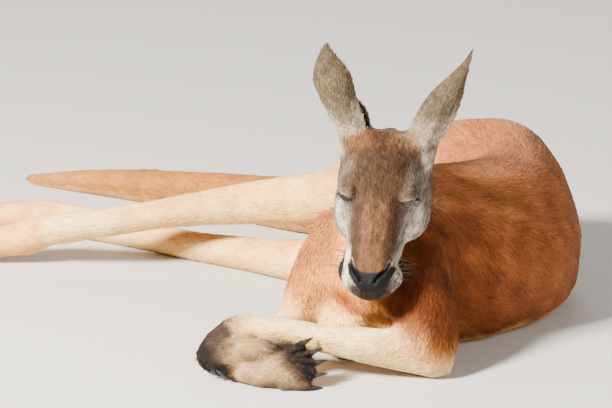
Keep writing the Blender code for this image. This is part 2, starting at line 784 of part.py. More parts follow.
class Digit:
    """A finger or toe: where it leaves the paw, which way, how it bends and its claw."""

    def __init__(self, root, ahead, top, lengths, radii, curl, claw_length, claw_radius, claw_curve):
        self.root = Vector(root)
        self.ahead = Vector(ahead).normalized()
        self.top = (Vector(top) - self.ahead * Vector(top).dot(self.ahead)).normalized()
        self.lengths = lengths
        self.radii = radii
        self.curl = curl
        self.claw_length = claw_length
        self.claw_radius = claw_radius
        self.claw_curve = claw_curve

    def stations(self):
        """Its rows from the root to the tip, bending at each joint, and the end's directions."""
        hinge = self.ahead.cross(self.top)
        place, ahead, top = self.root - self.ahead * 0.012, self.ahead, self.top
        rows = [(*place, self.radii[0], self.radii[0], 0)]
        place = self.root
        for length, radius, bend in zip(self.lengths, self.radii, self.curl):
            rows.append((*place, radius, radius, 0))
            turn = Quaternion(hinge, -math.radians(bend))
            ahead, top = turn @ ahead, turn @ top
            place = place + ahead * length
        rows.append((*place, self.radii[-1] * 0.9, self.radii[-1] * 0.9, 0))
        return rows, place, ahead, top, hinge

    def claw(self, name, grow):
        """Its claw, a curved cone that starts inside the tip."""
        _, place, ahead, top, hinge = self.stations()
        place = place - ahead * (0.003 + grow)
        mesh = bmesh.new()
        rings = []
        for k in range(CLAW_RINGS + 1):
            share = k / CLAW_RINGS
            turn = Quaternion(hinge, -math.radians(self.claw_curve) / CLAW_RINGS)
            radius = self.claw_radius * (1 - 0.82 * share**1.3) + grow
            ring = []
            for i in range(CLAW_SIDES):
                angle = 2 * math.pi * i / CLAW_SIDES
                ring.append(place + (hinge * 0.8 * math.cos(angle) + top * 1.1 * math.sin(angle)) * radius)
            rings.append(ring)
            ahead, top = turn @ ahead, turn @ top
            place = place + ahead * (self.claw_length + 0.003) / CLAW_RINGS
        add_rings(mesh, rings, 0.1)
        return to_object(mesh, name)


def make_paw(name, forms, digits, wrist_cut, triangles, claw_names):
    """A hand or foot with its claws; it ends at the limb's own cut."""
    mesh = bmesh.new()
    for rows in forms:
        add_form(mesh, rows, 16, 3)
    for digit in digits:
        add_form(mesh, digit.stations()[0], DIGIT_SIDES, 2)
    paw = fuse(to_object(mesh, name), PAW_VOXEL, 3, triangles)
    place, normal, reach = wrist_cut
    trim(paw, place, -Vector(normal), reach, 0.06)
    cut(paw, floor_cutter())
    nodes = {name: paw}
    for digit, claw_name in zip(digits, claw_names):
        cut(paw, digit.claw("socket", GAP))
        nodes[claw_name] = digit.claw(claw_name, 0)
        cut(nodes[claw_name], floor_cutter())
    return nodes


def fan(middle, ahead, across, top, count, pitch, spread, reach):
    """Roots and directions of digits side by side, the middle ones furthest forward."""
    middle, ahead, across, top = Vector(middle), Vector(ahead), Vector(across), Vector(top)
    result = []
    for k in range(count):
        step = k - (count - 1) / 2
        root = middle + across * step * pitch - ahead * reach * step * step
        result.append((root, Quaternion(top, math.radians(spread) * step) @ ahead))
    return result


def make_hands():
    """Both hands, each with five fingers and claws."""
    nodes = {}
    names = [f"claw_hand_left_{k}" for k in range(1, 6)]
    ahead = Vector((-0.56, -0.36, -0.75)).normalized()
    across = Vector((0.50, -0.86, 0.04)).normalized()
    top = ahead.cross(across).normalized()
    digits = []
    for root, way in fan((-0.325, -0.009, 0.036), ahead, across, top, 5, 0.0115, 5, 0.0012):
        digits.append(Digit(root, way, top, (0.012, 0.010), (0.0072, 0.0066), (12, 42), 0.016, 0.0042, 55))
    nodes.update(make_paw("hand_left", [HAND_LEFT], digits, WRIST_LEFT_CUT, HAND_TRIANGLES, names))
    names = [f"claw_hand_right_{k}" for k in range(1, 6)]
    ahead = Vector((0.95, -0.05, 0.30)).normalized()
    across = Vector((0.14, -0.35, -0.92)).normalized()
    top = across.cross(ahead).normalized()
    digits = []
    for root, way in fan((-0.210, -0.045, 0.028), ahead, across, -top, 5, 0.0106, 9, 0.0028):
        digits.append(Digit(root, way, top, (0.016, 0.014), (0.0080, 0.0073), (4, 10), 0.017, 0.0054, 28))
    forms = [HAND_RIGHT_WRIST, HAND_RIGHT]
    nodes.update(make_paw("hand_right", forms, digits, WRIST_RIGHT_CUT, HAND_TRIANGLES, names))
    return nodes


# The toes from the outer side in: place across the foot, length, radius, claw length and radius.
TOES = {
    5: (0.019, 0.040, 0.0095, 0.020, 0.0055),
    4: (0.002, 0.068, 0.0135, 0.034, 0.0080),
    3: (-0.014, 0.030, 0.0065, 0.013, 0.0032),
    2: (-0.021, 0.026, 0.0060, 0.012, 0.0030),
}


def make_foot(side_name, stations, root, ahead, outward, top, ankle_cut):
    """A long hind foot: one great toe, a smaller one outside it and two slender ones inside."""
    ahead = Vector(ahead).normalized()
    outward = Vector(outward).normalized()
    digits, names = [], []
    for number, (offset, length, radius, claw_length, claw_radius) in TOES.items():
        place = Vector(root) + outward * offset
        lengths, radii = (length * 0.55, length * 0.45), (radius, radius * 0.88)
        digits.append(Digit(place, ahead, top, lengths, radii, (4, 6), claw_length, claw_radius, 22))
        names.append(f"claw_foot_{side_name}_{number}")
    return make_paw(f"foot_{side_name}", [stations], digits, ankle_cut, FOOT_TRIANGLES, names)


def node_look(name):
    """The colour and roughness of a node."""
    if name.startswith("claw_"):
        return CLAW_BLACK, 0.45
    if name.startswith("eye_"):
        return EYE_BROWN, 0.1
    if name == "nose_pad":
        return NOSE_BLACK, 0.4
    if name.startswith("ear_"):
        return EAR_GREY, 0.9
    if name in ("head", "lower_jaw"):
        return GREY_BROWN, 0.9
    if name.startswith(("forearm", "shank", "foot", "tail_middle", "tail_tip", "hand")):
        return CREAM, 0.9
    if name.startswith(("upper_arm", "thigh", "tail")):
        return ORANGE_TAN, 0.9
    return RUFOUS, 0.9


def stand_on_origin(nodes):
    """Moves everything so that the middle of the bottom of its box is the origin."""
    corners = [v.co for made in nodes.values() for v in made.data.vertices]
    low = Vector(min(c[i] for c in corners) for i in range(3))
    high = Vector(max(c[i] for c in corners) for i in range(3))
    shift = Matrix.Translation((-(low.x + high.x) / 2, -(low.y + high.y) / 2, 0))
    for made in nodes.values():
        made.data.transform(shift)


for old in list(bpy.data.objects):
    bpy.data.objects.remove(old)

model = {}
model.update(make_head())
model.update(make_body())
model.update(make_hands())
model.update(
    make_foot(
        "right",
        FOOT_RIGHT,
        root=(-0.845, 0.547, 0.019),
        ahead=(-1, 0, 0),
        outward=(0, 0.8, 0.6),
        top=(0, -0.6, 0.8),
        ankle_cut=ANKLE_RIGHT_CUT,
    )
)
model.update(
    make_foot(
        "left",
        FOOT_LEFT,
        root=(-0.825, 0.751, 0.024),
        ahead=(-1, 0.05, 0),
        outward=(0, 0.35, -0.94),
        top=(0, -0.94, -0.35),
        ankle_cut=ANKLE_LEFT_CUT,
    )
)
for node_name, node in model.items():
    node.name = node_name
    paint(node, node_name, *node_look(node_name))
stand_on_origin(model)
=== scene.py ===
"""A red kangaroo at life size, lying at rest with its forelegs folded in front of it."""

import math

import bmesh
import bpy
import numpy as np
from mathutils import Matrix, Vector
from mathutils.bvhtree import BVHTree


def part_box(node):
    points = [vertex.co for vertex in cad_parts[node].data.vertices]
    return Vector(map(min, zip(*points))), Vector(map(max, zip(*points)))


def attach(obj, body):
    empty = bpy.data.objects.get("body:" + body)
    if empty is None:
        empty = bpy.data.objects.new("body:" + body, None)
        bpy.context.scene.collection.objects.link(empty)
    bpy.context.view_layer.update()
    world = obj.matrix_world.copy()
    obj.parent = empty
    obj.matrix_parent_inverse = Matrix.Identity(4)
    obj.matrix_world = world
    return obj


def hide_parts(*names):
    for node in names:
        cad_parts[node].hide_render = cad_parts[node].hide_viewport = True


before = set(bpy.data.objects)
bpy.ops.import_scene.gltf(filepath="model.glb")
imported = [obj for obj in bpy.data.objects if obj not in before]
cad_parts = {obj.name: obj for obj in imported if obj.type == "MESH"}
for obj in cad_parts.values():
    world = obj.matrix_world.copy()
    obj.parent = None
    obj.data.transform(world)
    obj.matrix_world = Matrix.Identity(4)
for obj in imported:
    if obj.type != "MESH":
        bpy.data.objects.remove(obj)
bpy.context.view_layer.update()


# ---------------------------------------------------------------- the hide
# One hide wraps the whole animal from the nose pad to the toes. It is the solid body smoothed
# over, its cuts closed, and drawn in by the depth of the coat that lies on it.
HIDE_VOXEL = 0.0024
CLOSE_CUTS = 0.0009
BODY_SMOOTHING = 110
PART_BLENDING = 14
SKIN_CLEARANCE = 0.0006

flesh = sorted(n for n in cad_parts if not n.startswith(("claw_", "eye_")))
eyes = ["eye_left", "eye_right"]

# Each part's smoothing, coat depth (m), hair length (m) and hair width (m).
PART = {
    "chest": (1.0, 0.0070, 0.017, 0.0020),
    "waist": (1.0, 0.0070, 0.018, 0.0021),
    "hips": (1.0, 0.0070, 0.019, 0.0022),
    "neck": (0.8, 0.0050, 0.013, 0.0018),
    "head": (0.28, 0.0026, 0.0085, 0.0013),
    "lower_jaw": (0.28, 0.0022, 0.0060, 0.0012),
    "nose_pad": (0.20, 0.0006, 0.0020, 0.0010),
    "ear": (0.10, 0.0007, 0.0060, 0.0011),
    "upper_arm": (0.9, 0.0050, 0.014, 0.0019),
    "forearm": (0.6, 0.0028, 0.0110, 0.0016),
    "hand": (0.10, 0.0012, 0.0055, 0.0012),
    "thigh": (0.9, 0.0050, 0.015, 0.0020),
    "shank": (0.7, 0.0030, 0.0120, 0.0017),
    "foot": (0.22, 0.0014, 0.0065, 0.0014),
    "tail_base": (0.9, 0.0060, 0.018, 0.0022),
    "tail_middle": (0.8, 0.0040, 0.015, 0.0020),
    "tail_tip": (0.4, 0.0022, 0.012, 0.0018),
}


def part_of(node):
    """The row of PART that a node follows."""
    return PART[node if node in PART else node.rsplit("_", 1)[0]]


def node_arrays(node):
    """A node's corners and triangles, its doubled corners merged."""
    mesh = bmesh.new()
    mesh.from_mesh(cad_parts[node].data)
    bmesh.ops.remove_doubles(mesh, verts=mesh.verts, dist=1e-6)
    bmesh.ops.triangulate(mesh, faces=mesh.faces)
    mesh.normal_update()
    places = np.array([v.co for v in mesh.verts])
    normals = np.array([v.normal for v in mesh.verts])
    faces = np.array([[v.index for v in f.verts] for f in mesh.faces])
    mesh.free()
    return places, normals, faces


def new_object(name, places, faces):
    """An object from arrays of corners and triangles, linked to the scene."""
    data = bpy.data.meshes.new(name)
    data.vertices.add(len(places))
    data.vertices.foreach_set("co", np.ascontiguousarray(places, dtype=np.float32).ravel())
    data.loops.add(faces.size)
    data.loops.foreach_set("vertex_index", np.ascontiguousarray(faces, dtype=np.int32).ravel())
    data.polygons.add(len(faces))
    data.polygons.foreach_set("loop_start", np.arange(0, faces.size, faces.shape[1], dtype=np.int32))
    data.update(calc_edges=True)
    data.validate()
    made = bpy.data.objects.new(name, data)
    bpy.context.scene.collection.objects.link(made)
    return made


def settled(made):
    """Turns an object's modifiers into its mesh."""
    graph = bpy.context.evaluated_depsgraph_get()
    data = bpy.data.meshes.new_from_object(made.evaluated_get(graph))
    made.modifiers.clear()
    old, made.data = made.data, data
    bpy.data.meshes.remove(old)
    return made


def ball_arrays(centre, radii):
    """The corners and triangles of an egg-shaped form."""
    mesh = bmesh.new()
    bmesh.ops.create_icosphere(mesh, subdivisions=4, radius=1.0)
    places = np.array([v.co for v in mesh.verts]) * np.array(radii) + np.array(centre)
    faces = np.array([[v.index for v in f.verts] for f in mesh.faces])
    mesh.free()
    return places, faces


stack_places, stack_faces, stack_owner, count = [], [], [], 0
for i, node in enumerate(flesh + eyes):
    places, normals, faces = node_arrays(node)
    stack_places.append(places + normals * CLOSE_CUTS)
    stack_faces.append(faces + count)
    stack_owner += [i] * len(faces)
    count += len(places)

# Loose folds, as part, centre and radii: the breast hangs to the floor between the forelegs, and
# the skin of the hands and of the right wrist fills in where they lie on each other.
FOLDS = (
    ("chest", (0.224, -0.400, 0.044), (0.040, 0.046, 0.042)),
    ("hand_right", (0.098, -0.520, 0.048), (0.042, 0.018, 0.018)),
    ("hand_right", (0.128, -0.502, 0.042), (0.030, 0.020, 0.015)),
    ("hand_left", (0.068, -0.514, 0.032), (0.022, 0.020, 0.024)),
    ("hand_left", (0.086, -0.507, 0.058), (0.020, 0.015, 0.013)),
)
for node, centre, radii in FOLDS:
    places, ball_faces = ball_arrays(centre, radii)
    stack_places.append(places)
    stack_faces.append(ball_faces + count)
    stack_owner += [flesh.index(node)] * len(ball_faces)
    count += len(places)
stack_places, stack_faces = np.concatenate(stack_places), np.concatenate(stack_faces)
owner_tree = BVHTree.FromPolygons(stack_places.tolist(), stack_faces.tolist())
owner_of_face = np.array(stack_owner)

hide = new_object("hide", stack_places, stack_faces)
remesh = hide.modifiers.new("One surface", "REMESH")
remesh.mode = "VOXEL"
remesh.voxel_size = HIDE_VOXEL
settled(hide)


def arrays_of(data):
    """A mesh's corners, edges and the vertex lists of its faces cut into triangles."""
    places = np.empty(len(data.vertices) * 3, np.float32)
    data.vertices.foreach_get("co", places)
    edges = np.empty(len(data.edges) * 2, np.int32)
    data.edges.foreach_get("vertices", edges)
    data.calc_loop_triangles()
    faces = np.empty(len(data.loop_triangles) * 3, np.int32)
    data.loop_triangles.foreach_get("vertices", faces)
    return places.reshape(-1, 3).astype(float), edges.reshape(-1, 2), faces.reshape(-1, 3)


class Net:
    """The edges of a mesh, for averaging values over neighbours."""

    def __init__(self, count, edges):
        self.count = count
        self.a = np.concatenate([edges[:, 0], edges[:, 1]])
        self.b = np.concatenate([edges[:, 1], edges[:, 0]])
        self.degree = np.maximum(np.bincount(self.a, minlength=count), 1)

    def mean(self, values):
        """Each vertex's neighbours' mean."""
        columns = values.reshape(self.count, -1)
        result = np.empty_like(columns)
        for k in range(columns.shape[1]):
            total = np.bincount(self.a, weights=columns[self.b, k], minlength=self.count)
            result[:, k] = total / self.degree
        return result.reshape(values.shape)

    def smooth(self, values, rounds, weight=0.5):
        """Values drawn towards their neighbours' mean, again and again."""
        if isinstance(weight, np.ndarray) and values.ndim > 1:
            weight = weight[:, None]
        for _ in range(rounds):
            values = values + (self.mean(values) - values) * weight
        return values


def normals_of(places, faces):
    """Unit normals at the vertices of a triangle mesh."""
    corners = places[faces]
    crosses = np.cross(corners[:, 1] - corners[:, 0], corners[:, 2] - corners[:, 0])
    result = np.zeros_like(places)
    for k in range(3):
        for axis in range(3):
            result[:, axis] += np.bincount(faces[:, k], weights=crosses[:, axis], minlength=len(places))
    return result / np.maximum(np.linalg.norm(result, axis=1, keepdims=True), 1e-12)


def largest_shell(places, edges, faces):
    """Only the outer surface, without closed hollows left inside it."""
    label = np.arange(len(places))
    while True:
        low = np.minimum(label[edges[:, 0]], label[edges[:, 1]])
        fresh = label.copy()
        np.minimum.at(fresh, edges[:, 0], low)
        np.minimum.at(fresh, edges[:, 1], low)
        fresh = fresh[fresh]
        if (fresh == label).all():
            break
        label = fresh
    main = np.bincount(label).argmax()
    keep = label == main
    index = np.cumsum(keep) - 1
    return places[keep], index[edges[keep[edges[:, 0]]]], index[faces[keep[faces[:, 0]]]]


def owners_of(places):
    """The flesh node nearest each place."""
    result = np.empty(len(places), int)
    for i, place in enumerate(places.tolist()):
        result[i] = owner_of_face[owner_tree.find_nearest(place)[2]]
    return result


places, edges, faces = largest_shell(*arrays_of(hide.data))
net = Net(len(places), edges)
owner = owners_of(places)
names = np.array(flesh + ["head", "head"])
rows = np.array([part_of(name) for name in names])
firmness = net.smooth(rows[owner, 0], PART_BLENDING)
original = places
weight = 0.5 * firmness
smoothed = net.smooth(places, BODY_SMOOTHING, weight)
lost = ((original - smoothed) * normals_of(smoothed, faces)).sum(1)
lost = net.smooth(lost, BODY_SMOOTHING, weight)
places = smoothed + normals_of(smoothed, faces) * lost[:, None]


# The trunk and legs need fewer corners than the face, ears, hands and feet, so the hide is
# thinned there and keeps its fineness where small forms show.
FINE = (
    "head", "lower_jaw", "nose_pad", "ear_left", "ear_right",
    "hand_left", "hand_right", "foot_left", "foot_right",
)
BODY_SHARE = 0.075

bpy.data.objects.remove(hide)
hide = new_object("hide", places, faces)
body_group = hide.vertex_groups.new(name="thinned")
fine = net.smooth(np.isin(names[owner], FINE).astype(float), 10) > 0.05
body_group.add(np.flatnonzero(~fine).tolist(), 1.0, "REPLACE")
thin = hide.modifiers.new("Thin", "DECIMATE")
thin.ratio = BODY_SHARE + (1 - BODY_SHARE) * fine.mean()
thin.vertex_group = "thinned"
settled(hide)

# The head's own directions, from its solids: ahead to the nose, to its left, and out of the face.
eye_middle = {side: sum(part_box(f"eye_{side}"), Vector()) / 2 for side in ("left", "right")}
EYE_RADIUS = (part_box("eye_left")[1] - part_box("eye_left")[0]).z / 2
AHEAD = Vector((-0.125, -0.465, -0.876)).normalized()
LEFT = (eye_middle["left"] - eye_middle["right"]).normalized()
OUT = AHEAD.cross(LEFT).normalized()
LEFT = OUT.cross(AHEAD).normalized()
EYES_ALONG, EYES_OUT = 0.084, -0.0185
POLL = (eye_middle["left"] + eye_middle["right"]) / 2 - AHEAD * EYES_ALONG - OUT * EYES_OUT


def head_view(points):
    """Places as how far along the face, to its left and out of it."""
    offset = points - np.array(POLL)
    return np.stack([offset @ np.array(AHEAD), offset @ np.array(LEFT), offset @ np.array(OUT)], 1)


def step(low, high, value):
    """A soft step from 0 at low to 1 at high."""
    share = np.clip((value - low) / (high - low), 0, 1)
    return share * share * (3 - 2 * share)


def fade(low, high, value):
    """The same step the other way, from 1 at low to 0 at high."""
    return 1 - step(low, high, value)


def bump_at(distance, reach):
    """A soft bump: 1 at the middle and next to nothing past its reach."""
    return np.exp(-2.5 * (distance / reach) ** 2)


# Round each eye and on the nose the hide is cut finer, for the lids' edges and the nostrils.
LID_REACH = 0.021
NOSTRIL_REACH = 0.020
NOSTRIL_AHEAD, NOSTRIL_ASIDE, NOSTRIL_DROP = 0.190, 0.019, 0.020
mesh = bmesh.new()
mesh.from_mesh(hide.data)
for centre, reach, rounds in (
    (eye_middle["left"], LID_REACH, 2),
    (eye_middle["right"], LID_REACH, 2),
    (POLL + AHEAD * NOSTRIL_AHEAD + LEFT * NOSTRIL_ASIDE - OUT * NOSTRIL_DROP, NOSTRIL_REACH, 1),
    (POLL + AHEAD * NOSTRIL_AHEAD - LEFT * NOSTRIL_ASIDE - OUT * NOSTRIL_DROP, NOSTRIL_REACH, 1),
):
    for _ in range(rounds):
        near = [e for e in mesh.edges if all((v.co - centre).length < reach for v in e.verts)]
        bmesh.ops.subdivide_edges(mesh, edges=near, cuts=1, use_grid_fill=True, smooth=0.0)
bmesh.ops.triangulate(mesh, faces=[f for f in mesh.faces if len(f.verts) > 3])
mesh.to_mesh(hide.data)
mesh.free()

places, edges, faces = largest_shell(*arrays_of(hide.data))
net = Net(len(places), edges)
owner = owners_of(places)
owner_name = names[owner]
on_head = np.isin(owner_name, ("head", "lower_jaw", "nose_pad"))

# The coat's depth, the hair's length and its width, blended from part to part.
depth, hair_length, hair_width = (net.smooth(rows[owner, k], 10) for k in (1, 2, 3))
along, aside, out = head_view(places).T
muzzle = step(0.095, 0.150, along) * on_head
depth = depth * (1 - 0.72 * muzzle)
hair_length = hair_length * (1 - 0.62 * muzzle)
hair_width = hair_width * (1 - 0.25 * muzzle)
floor_share = 0.30 + 0.70 * step(0.0, 0.035, places[:, 2])
places = places - normals_of(places, faces) * (CLOSE_CUTS + depth * floor_share)[:, None]

# The left wrist rolls over without a corner, and the forearm runs evenly past the right claws.
ROLLS = (((0.094, -0.490, 0.082), 0.032, 60), ((0.187, -0.508, 0.053), 0.014, 40))
for middle, reach, rounds in ROLLS:
    rolled = bump_at(np.linalg.norm(places - middle, axis=1), reach)
    places = places + (net.smooth(places, rounds) - places) * rolled[:, None]

# Lids: each closes over its eye, the upper one hooding it, with a narrow slit between them.
LID_THICKNESS = 0.0017
LID_BLEND = 0.0030
SLIT_HALF_LENGTH = 0.0155
SLIT_DROP = 0.0085
SLIT_CURVE = 0.0030
SLIT_HALF_WIDTH = 0.0019
EYE_DEPTH = 0.0016
LASHES = 34
LASH_SPREAD = 0.92
lash_roots, lash_ways = [], []

slit_share, lid_share, rim_share, eye_zone = np.zeros((4, len(places)))
eye_lie = np.zeros((len(places), 3))
for side, sign in (("left", 1), ("right", -1)):
    centre = np.array(eye_middle[side])
    gaze = (LEFT * sign * 0.66 + OUT * 0.74 - AHEAD * 0.10).normalized()
    corner = LEFT * sign * 0.90 - AHEAD * 0.56 - OUT * 0.20
    corner = (corner - gaze * corner.dot(gaze)).normalized()
    rise = corner.cross(gaze).normalized()
    rise = rise if rise.dot(AHEAD) < 0 else -rise
    gaze, corner, rise = (np.array(direction) for direction in (gaze, corner, rise))
    offset = places - centre
    forth, across, up = (offset @ direction for direction in (gaze, corner, rise))
    spread = np.hypot(across, up)
    front = (forth > -0.004) & (spread < 0.030)
    ball = EYE_RADIUS + LID_THICKNESS
    dome = np.sqrt(np.maximum(ball**2 - spread**2, 0))
    inside = front & (spread < ball)
    gap = dome - forth
    lift = np.maximum(gap, 0) + np.maximum(LID_BLEND - np.abs(gap), 0) ** 2 / (4 * LID_BLEND)
    lift = np.where(inside, lift * step(0, 0.002, ball - spread), 0)
    # The slit, curved like a smile; the lids' rims beside it and the folds over and under it.
    line = -SLIT_DROP + SLIT_CURVE * (across / SLIT_HALF_LENGTH) ** 2
    above = up - line
    reach_along = fade(SLIT_HALF_LENGTH - 0.0025, SLIT_HALF_LENGTH + 0.0015, np.abs(across))
    slit = fade(SLIT_HALF_WIDTH * 0.7, SLIT_HALF_WIDTH * 1.7, np.abs(above)) * reach_along * front
    rims = 0.0009 * bump_at(above - 0.0026, 0.0017) * reach_along * front
    rims += 0.0005 * bump_at(above + 0.0030, 0.0017) * reach_along * front
    tail_fold = bump_at(above - 0.002, 0.0030) * step(0.012, 0.015, across)
    tail_fold = tail_fold * fade(0.020, 0.025, across) * front
    hood = bump_at(above - 0.0098 + 18 * across**2, 0.0022)
    hood = hood * fade(0.010, 0.016, np.abs(across)) * front
    pouch = bump_at(above + 0.0085 - 14 * across**2, 0.0024)
    pouch = pouch * fade(0.008, 0.015, np.abs(across)) * front
    move = lift + rims - 0.0012 * tail_fold - 0.0009 * hood - 0.0008 * pouch
    places = places + move[:, None] * gaze
    offset = places - centre
    distance = np.linalg.norm(offset, axis=1)
    sunk = centre + offset / np.maximum(distance, 1e-9)[:, None] * (EYE_RADIUS - EYE_DEPTH)
    places = places + (sunk - places) * (slit * (distance < ball + 0.004))[:, None]
    slit_share = np.maximum(slit_share, np.maximum(slit, 0.8 * tail_fold))
    upper = bump_at(above - 0.0034, 0.0021) * fade(0.0095, 0.0135, np.abs(across))
    lid_share = np.maximum(lid_share, upper * front)
    for share in np.linspace(-LASH_SPREAD, LASH_SPREAD, LASHES):
        drop = -SLIT_DROP + SLIT_CURVE * share**2 + 0.0008
        root = corner * SLIT_HALF_LENGTH * share + rise * drop
        root += gaze * np.sqrt(max(ball**2 - root @ root, 0))
        lash_roots.append(centre + root - gaze * 0.0005)
        lash_ways.append(gaze * 0.75 - rise * 0.65 + corner * 0.45 * share)
    rim_share = np.maximum(rim_share, bump_at(above, 0.0034) * reach_along * front)
    round_eye = bump_at(np.maximum(spread - 0.010, 0), 0.014) * front
    eye_zone = np.maximum(eye_zone, round_eye)
    below = fade(-0.002, 0.002, above)
    away = corner * 0.9 * below[:, None] + rise * (0.8 - 1.3 * below)[:, None]
    eye_lie += away * round_eye[:, None]

# Grooves between the fingers, from the roots of the claws back into the hand.
GROOVE_DEPTH = 0.0055
GROOVE_WIDTH = 0.0034
GROOVE_SHARE = 0.62
node_middle = {node: np.array(sum(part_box(node), Vector()) / 2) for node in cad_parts}
face_normals = normals_of(places, faces)
finger_share = np.zeros(len(places))
for hand in ("hand_left", "hand_right"):
    roots, tips = [], []
    for k in range(1, 6):
        claw_places = node_arrays(f"claw_{hand}_{k}")[0]
        away = np.linalg.norm(claw_places - node_middle[hand], axis=1)
        roots.append(claw_places[away < away.min() + 0.004].mean(0))
        tips.append(claw_places[away.argmax()])
    roots, tips = np.array(roots), np.array(tips)
    forwards = (tips - roots).mean(0)
    over = np.cross(roots[-1] - roots[0], forwards)
    over /= np.linalg.norm(over)
    groove = np.zeros(len(places))
    for one, other in zip(roots, roots[1:]):
        start = (one + other) / 2 + forwards * 0.3
        run = (node_middle[hand] - start) * GROOVE_SHARE
        run -= over * (run @ over)
        offset = places - start
        offset -= np.outer(offset @ over, over)
        share = np.clip(offset @ run / (run @ run), 0, 1)
        distance = np.linalg.norm(offset - share[:, None] * run, axis=1)
        groove = np.maximum(groove, bump_at(distance, GROOVE_WIDTH) * (1 - 0.85 * share))
    groove *= owner_name == hand
    places = places - face_normals * (GROOVE_DEPTH * groove)[:, None]
    finger_share = np.maximum(finger_share, groove)

# Nostrils, the groove under the nose, the mouth's line and the hollow before the cheeks.
NOSTRIL = ((0.0262, 0.176), (0.0232, 0.185), (0.0180, 0.193), (0.0125, 0.1985), (0.0100, 0.2045))
MOUTH = (
    (0.118, -0.078), (0.132, -0.067), (0.152, -0.0625),
    (0.180, -0.0605), (0.205, -0.058), (0.222, -0.052),
)


def away_from_line(u, v, line):
    """How far points are from a line of straight runs, and how far along it the nearest place is."""
    best, where = np.full(len(u), 1e9), np.zeros(len(u))
    for i in range(len(line) - 1):
        a, b = np.array(line[i]), np.array(line[i + 1])
        run = b - a
        share = np.clip(((u - a[0]) * run[0] + (v - a[1]) * run[1]) / (run @ run), 0, 1)
        distance = np.hypot(u - a[0] - share * run[0], v - a[1] - share * run[1])
        where = np.where(distance < best, (i + share) / (len(line) - 1), where)
        best = np.minimum(best, distance)
    return best, where


along, aside, out = head_view(places).T
face_normals = normals_of(places, faces)
facing = face_normals @ np.array(OUT)
from_nostril, where = away_from_line(np.abs(aside), along, NOSTRIL)
nostril = bump_at(from_nostril, 0.0030 - 0.0008 * np.abs(where - 0.4)) * on_head * (out > -0.060)
nostril_rim = bump_at(from_nostril - 0.0042, 0.0022) * on_head * (out > -0.060)
philtrum = bump_at(aside, 0.0014) * step(0.196, 0.204, along) * on_head * (out > -0.058)
from_mouth, _ = away_from_line(along, out, MOUTH)
mouth = bump_at(from_mouth, 0.0018) * on_head
lip_edge = bump_at(from_mouth - 0.0034, 0.0022) * on_head
cheek_hollow = bump_at(np.hypot(along - 0.132, (out + 0.045) * 0.8), 0.024) * on_head
cheek_hollow = cheek_hollow * step(0.016, 0.026, np.abs(aside))
brow = bump_at(np.hypot(along - 0.064, (np.abs(aside) - 0.030) * 0.9), 0.016) * on_head * (out > -0.03)
nose_bridge = bump_at(aside, 0.012) * step(0.10, 0.13, along) * fade(0.17, 0.19, along)
nose_bridge = nose_bridge * on_head * (facing > 0)
crown_dip = bump_at(aside, 0.012) * fade(0.030, 0.060, along) * on_head
inwards = 0.0042 * nostril + 0.0012 * philtrum + 0.0016 * mouth + 0.0022 * cheek_hollow + 0.0012 * crown_dip
right_lip = bump_at(np.hypot(along - 0.184, out + 0.044), 0.024) * on_head * step(0.012, 0.024, -aside)
crown_tufts = bump_at(np.hypot(along - 0.004, np.abs(aside) - 0.024), 0.018) * on_head * (out > -0.06)
outwards = 0.0007 * nostril_rim + 0.0006 * lip_edge + 0.0012 * brow + 0.0007 * nose_bridge
outwards += 0.0040 * right_lip + 0.0030 * crown_tufts
places = places + face_normals * (outwards - inwards)[:, None]
places[:, 2] = np.maximum(places[:, 2], SKIN_CLEARANCE)

bpy.data.objects.remove(hide)
hide = new_object("hide", places, faces)
hide.data.shade_smooth()
hide_normals = normals_of(places, faces)


# ---------------------------------------------------------------- the markings
# A red kangaroo's coat: rust on the back and flanks, sandy on the arms, cream on the legs and below,
# grey on the face with pale cheeks, dark on the fingers and toes. Hide and hair share them.
RUST = (0.460, 0.250, 0.122)
RUST_PALE = (0.700, 0.435, 0.260)
RUST_DARK = (0.320, 0.165, 0.085)
SANDY = (0.600, 0.365, 0.195)
ARM_RUST_SHADED = (0.300, 0.135, 0.040)
PEACH = (0.910, 0.600, 0.290)
ORANGE = (0.560, 0.200, 0.030)
CREAM = (0.985, 0.755, 0.460)
IVORY = (0.990, 0.820, 0.590)
TAIL_TAN = (0.640, 0.410, 0.180)
TAIL_TIP_TAN = (0.680, 0.460, 0.230)
FACE_BROWN = (0.245, 0.175, 0.120)
FACE_DARK = (0.190, 0.140, 0.105)
FACE_GREY = (0.390, 0.355, 0.330)
CHEEK_PALE = (0.540, 0.500, 0.465)
MUZZLE_TAN = (0.400, 0.275, 0.185)
CROWN = (0.400, 0.265, 0.155)
CROWN_PALE = (0.560, 0.440, 0.335)
EAR_BACK = (0.320, 0.275, 0.210)
EAR_PALE = (0.680, 0.630, 0.540)
LIP_WHITE = (0.850, 0.815, 0.750)
PAW_FAWN = (0.520, 0.430, 0.330)
PAW_BROWN = (0.230, 0.175, 0.135)
PAW_BLACK = (0.100, 0.082, 0.074)
PAW_GROOVE_SHADE = (0.035, 0.028, 0.026)
NOSE_BLACK = (0.045, 0.040, 0.042)
SKIN_AND_SHADE_BLACK = (0.020, 0.018, 0.018)
NOSE_FUR = (0.185, 0.160, 0.150)
LID_SKIN = (0.640, 0.510, 0.440)

owner = owners_of(places)
owner_name = names[owner]
along, aside, out = head_view(places).T
x, y, z = places.T
facing = hide_normals @ np.array(OUT)


def soft_part(starts, rounds=12):
    """Where the hide belongs to the named parts, blurred at their borders."""
    member = np.zeros(len(places))
    for start in starts:
        member = np.maximum(member, np.char.startswith(owner_name, start))
    return net.smooth(member, rounds)


def near(centre, reach):
    """A soft round spot."""
    return bump_at(np.linalg.norm(places - np.array(centre), axis=1), reach)


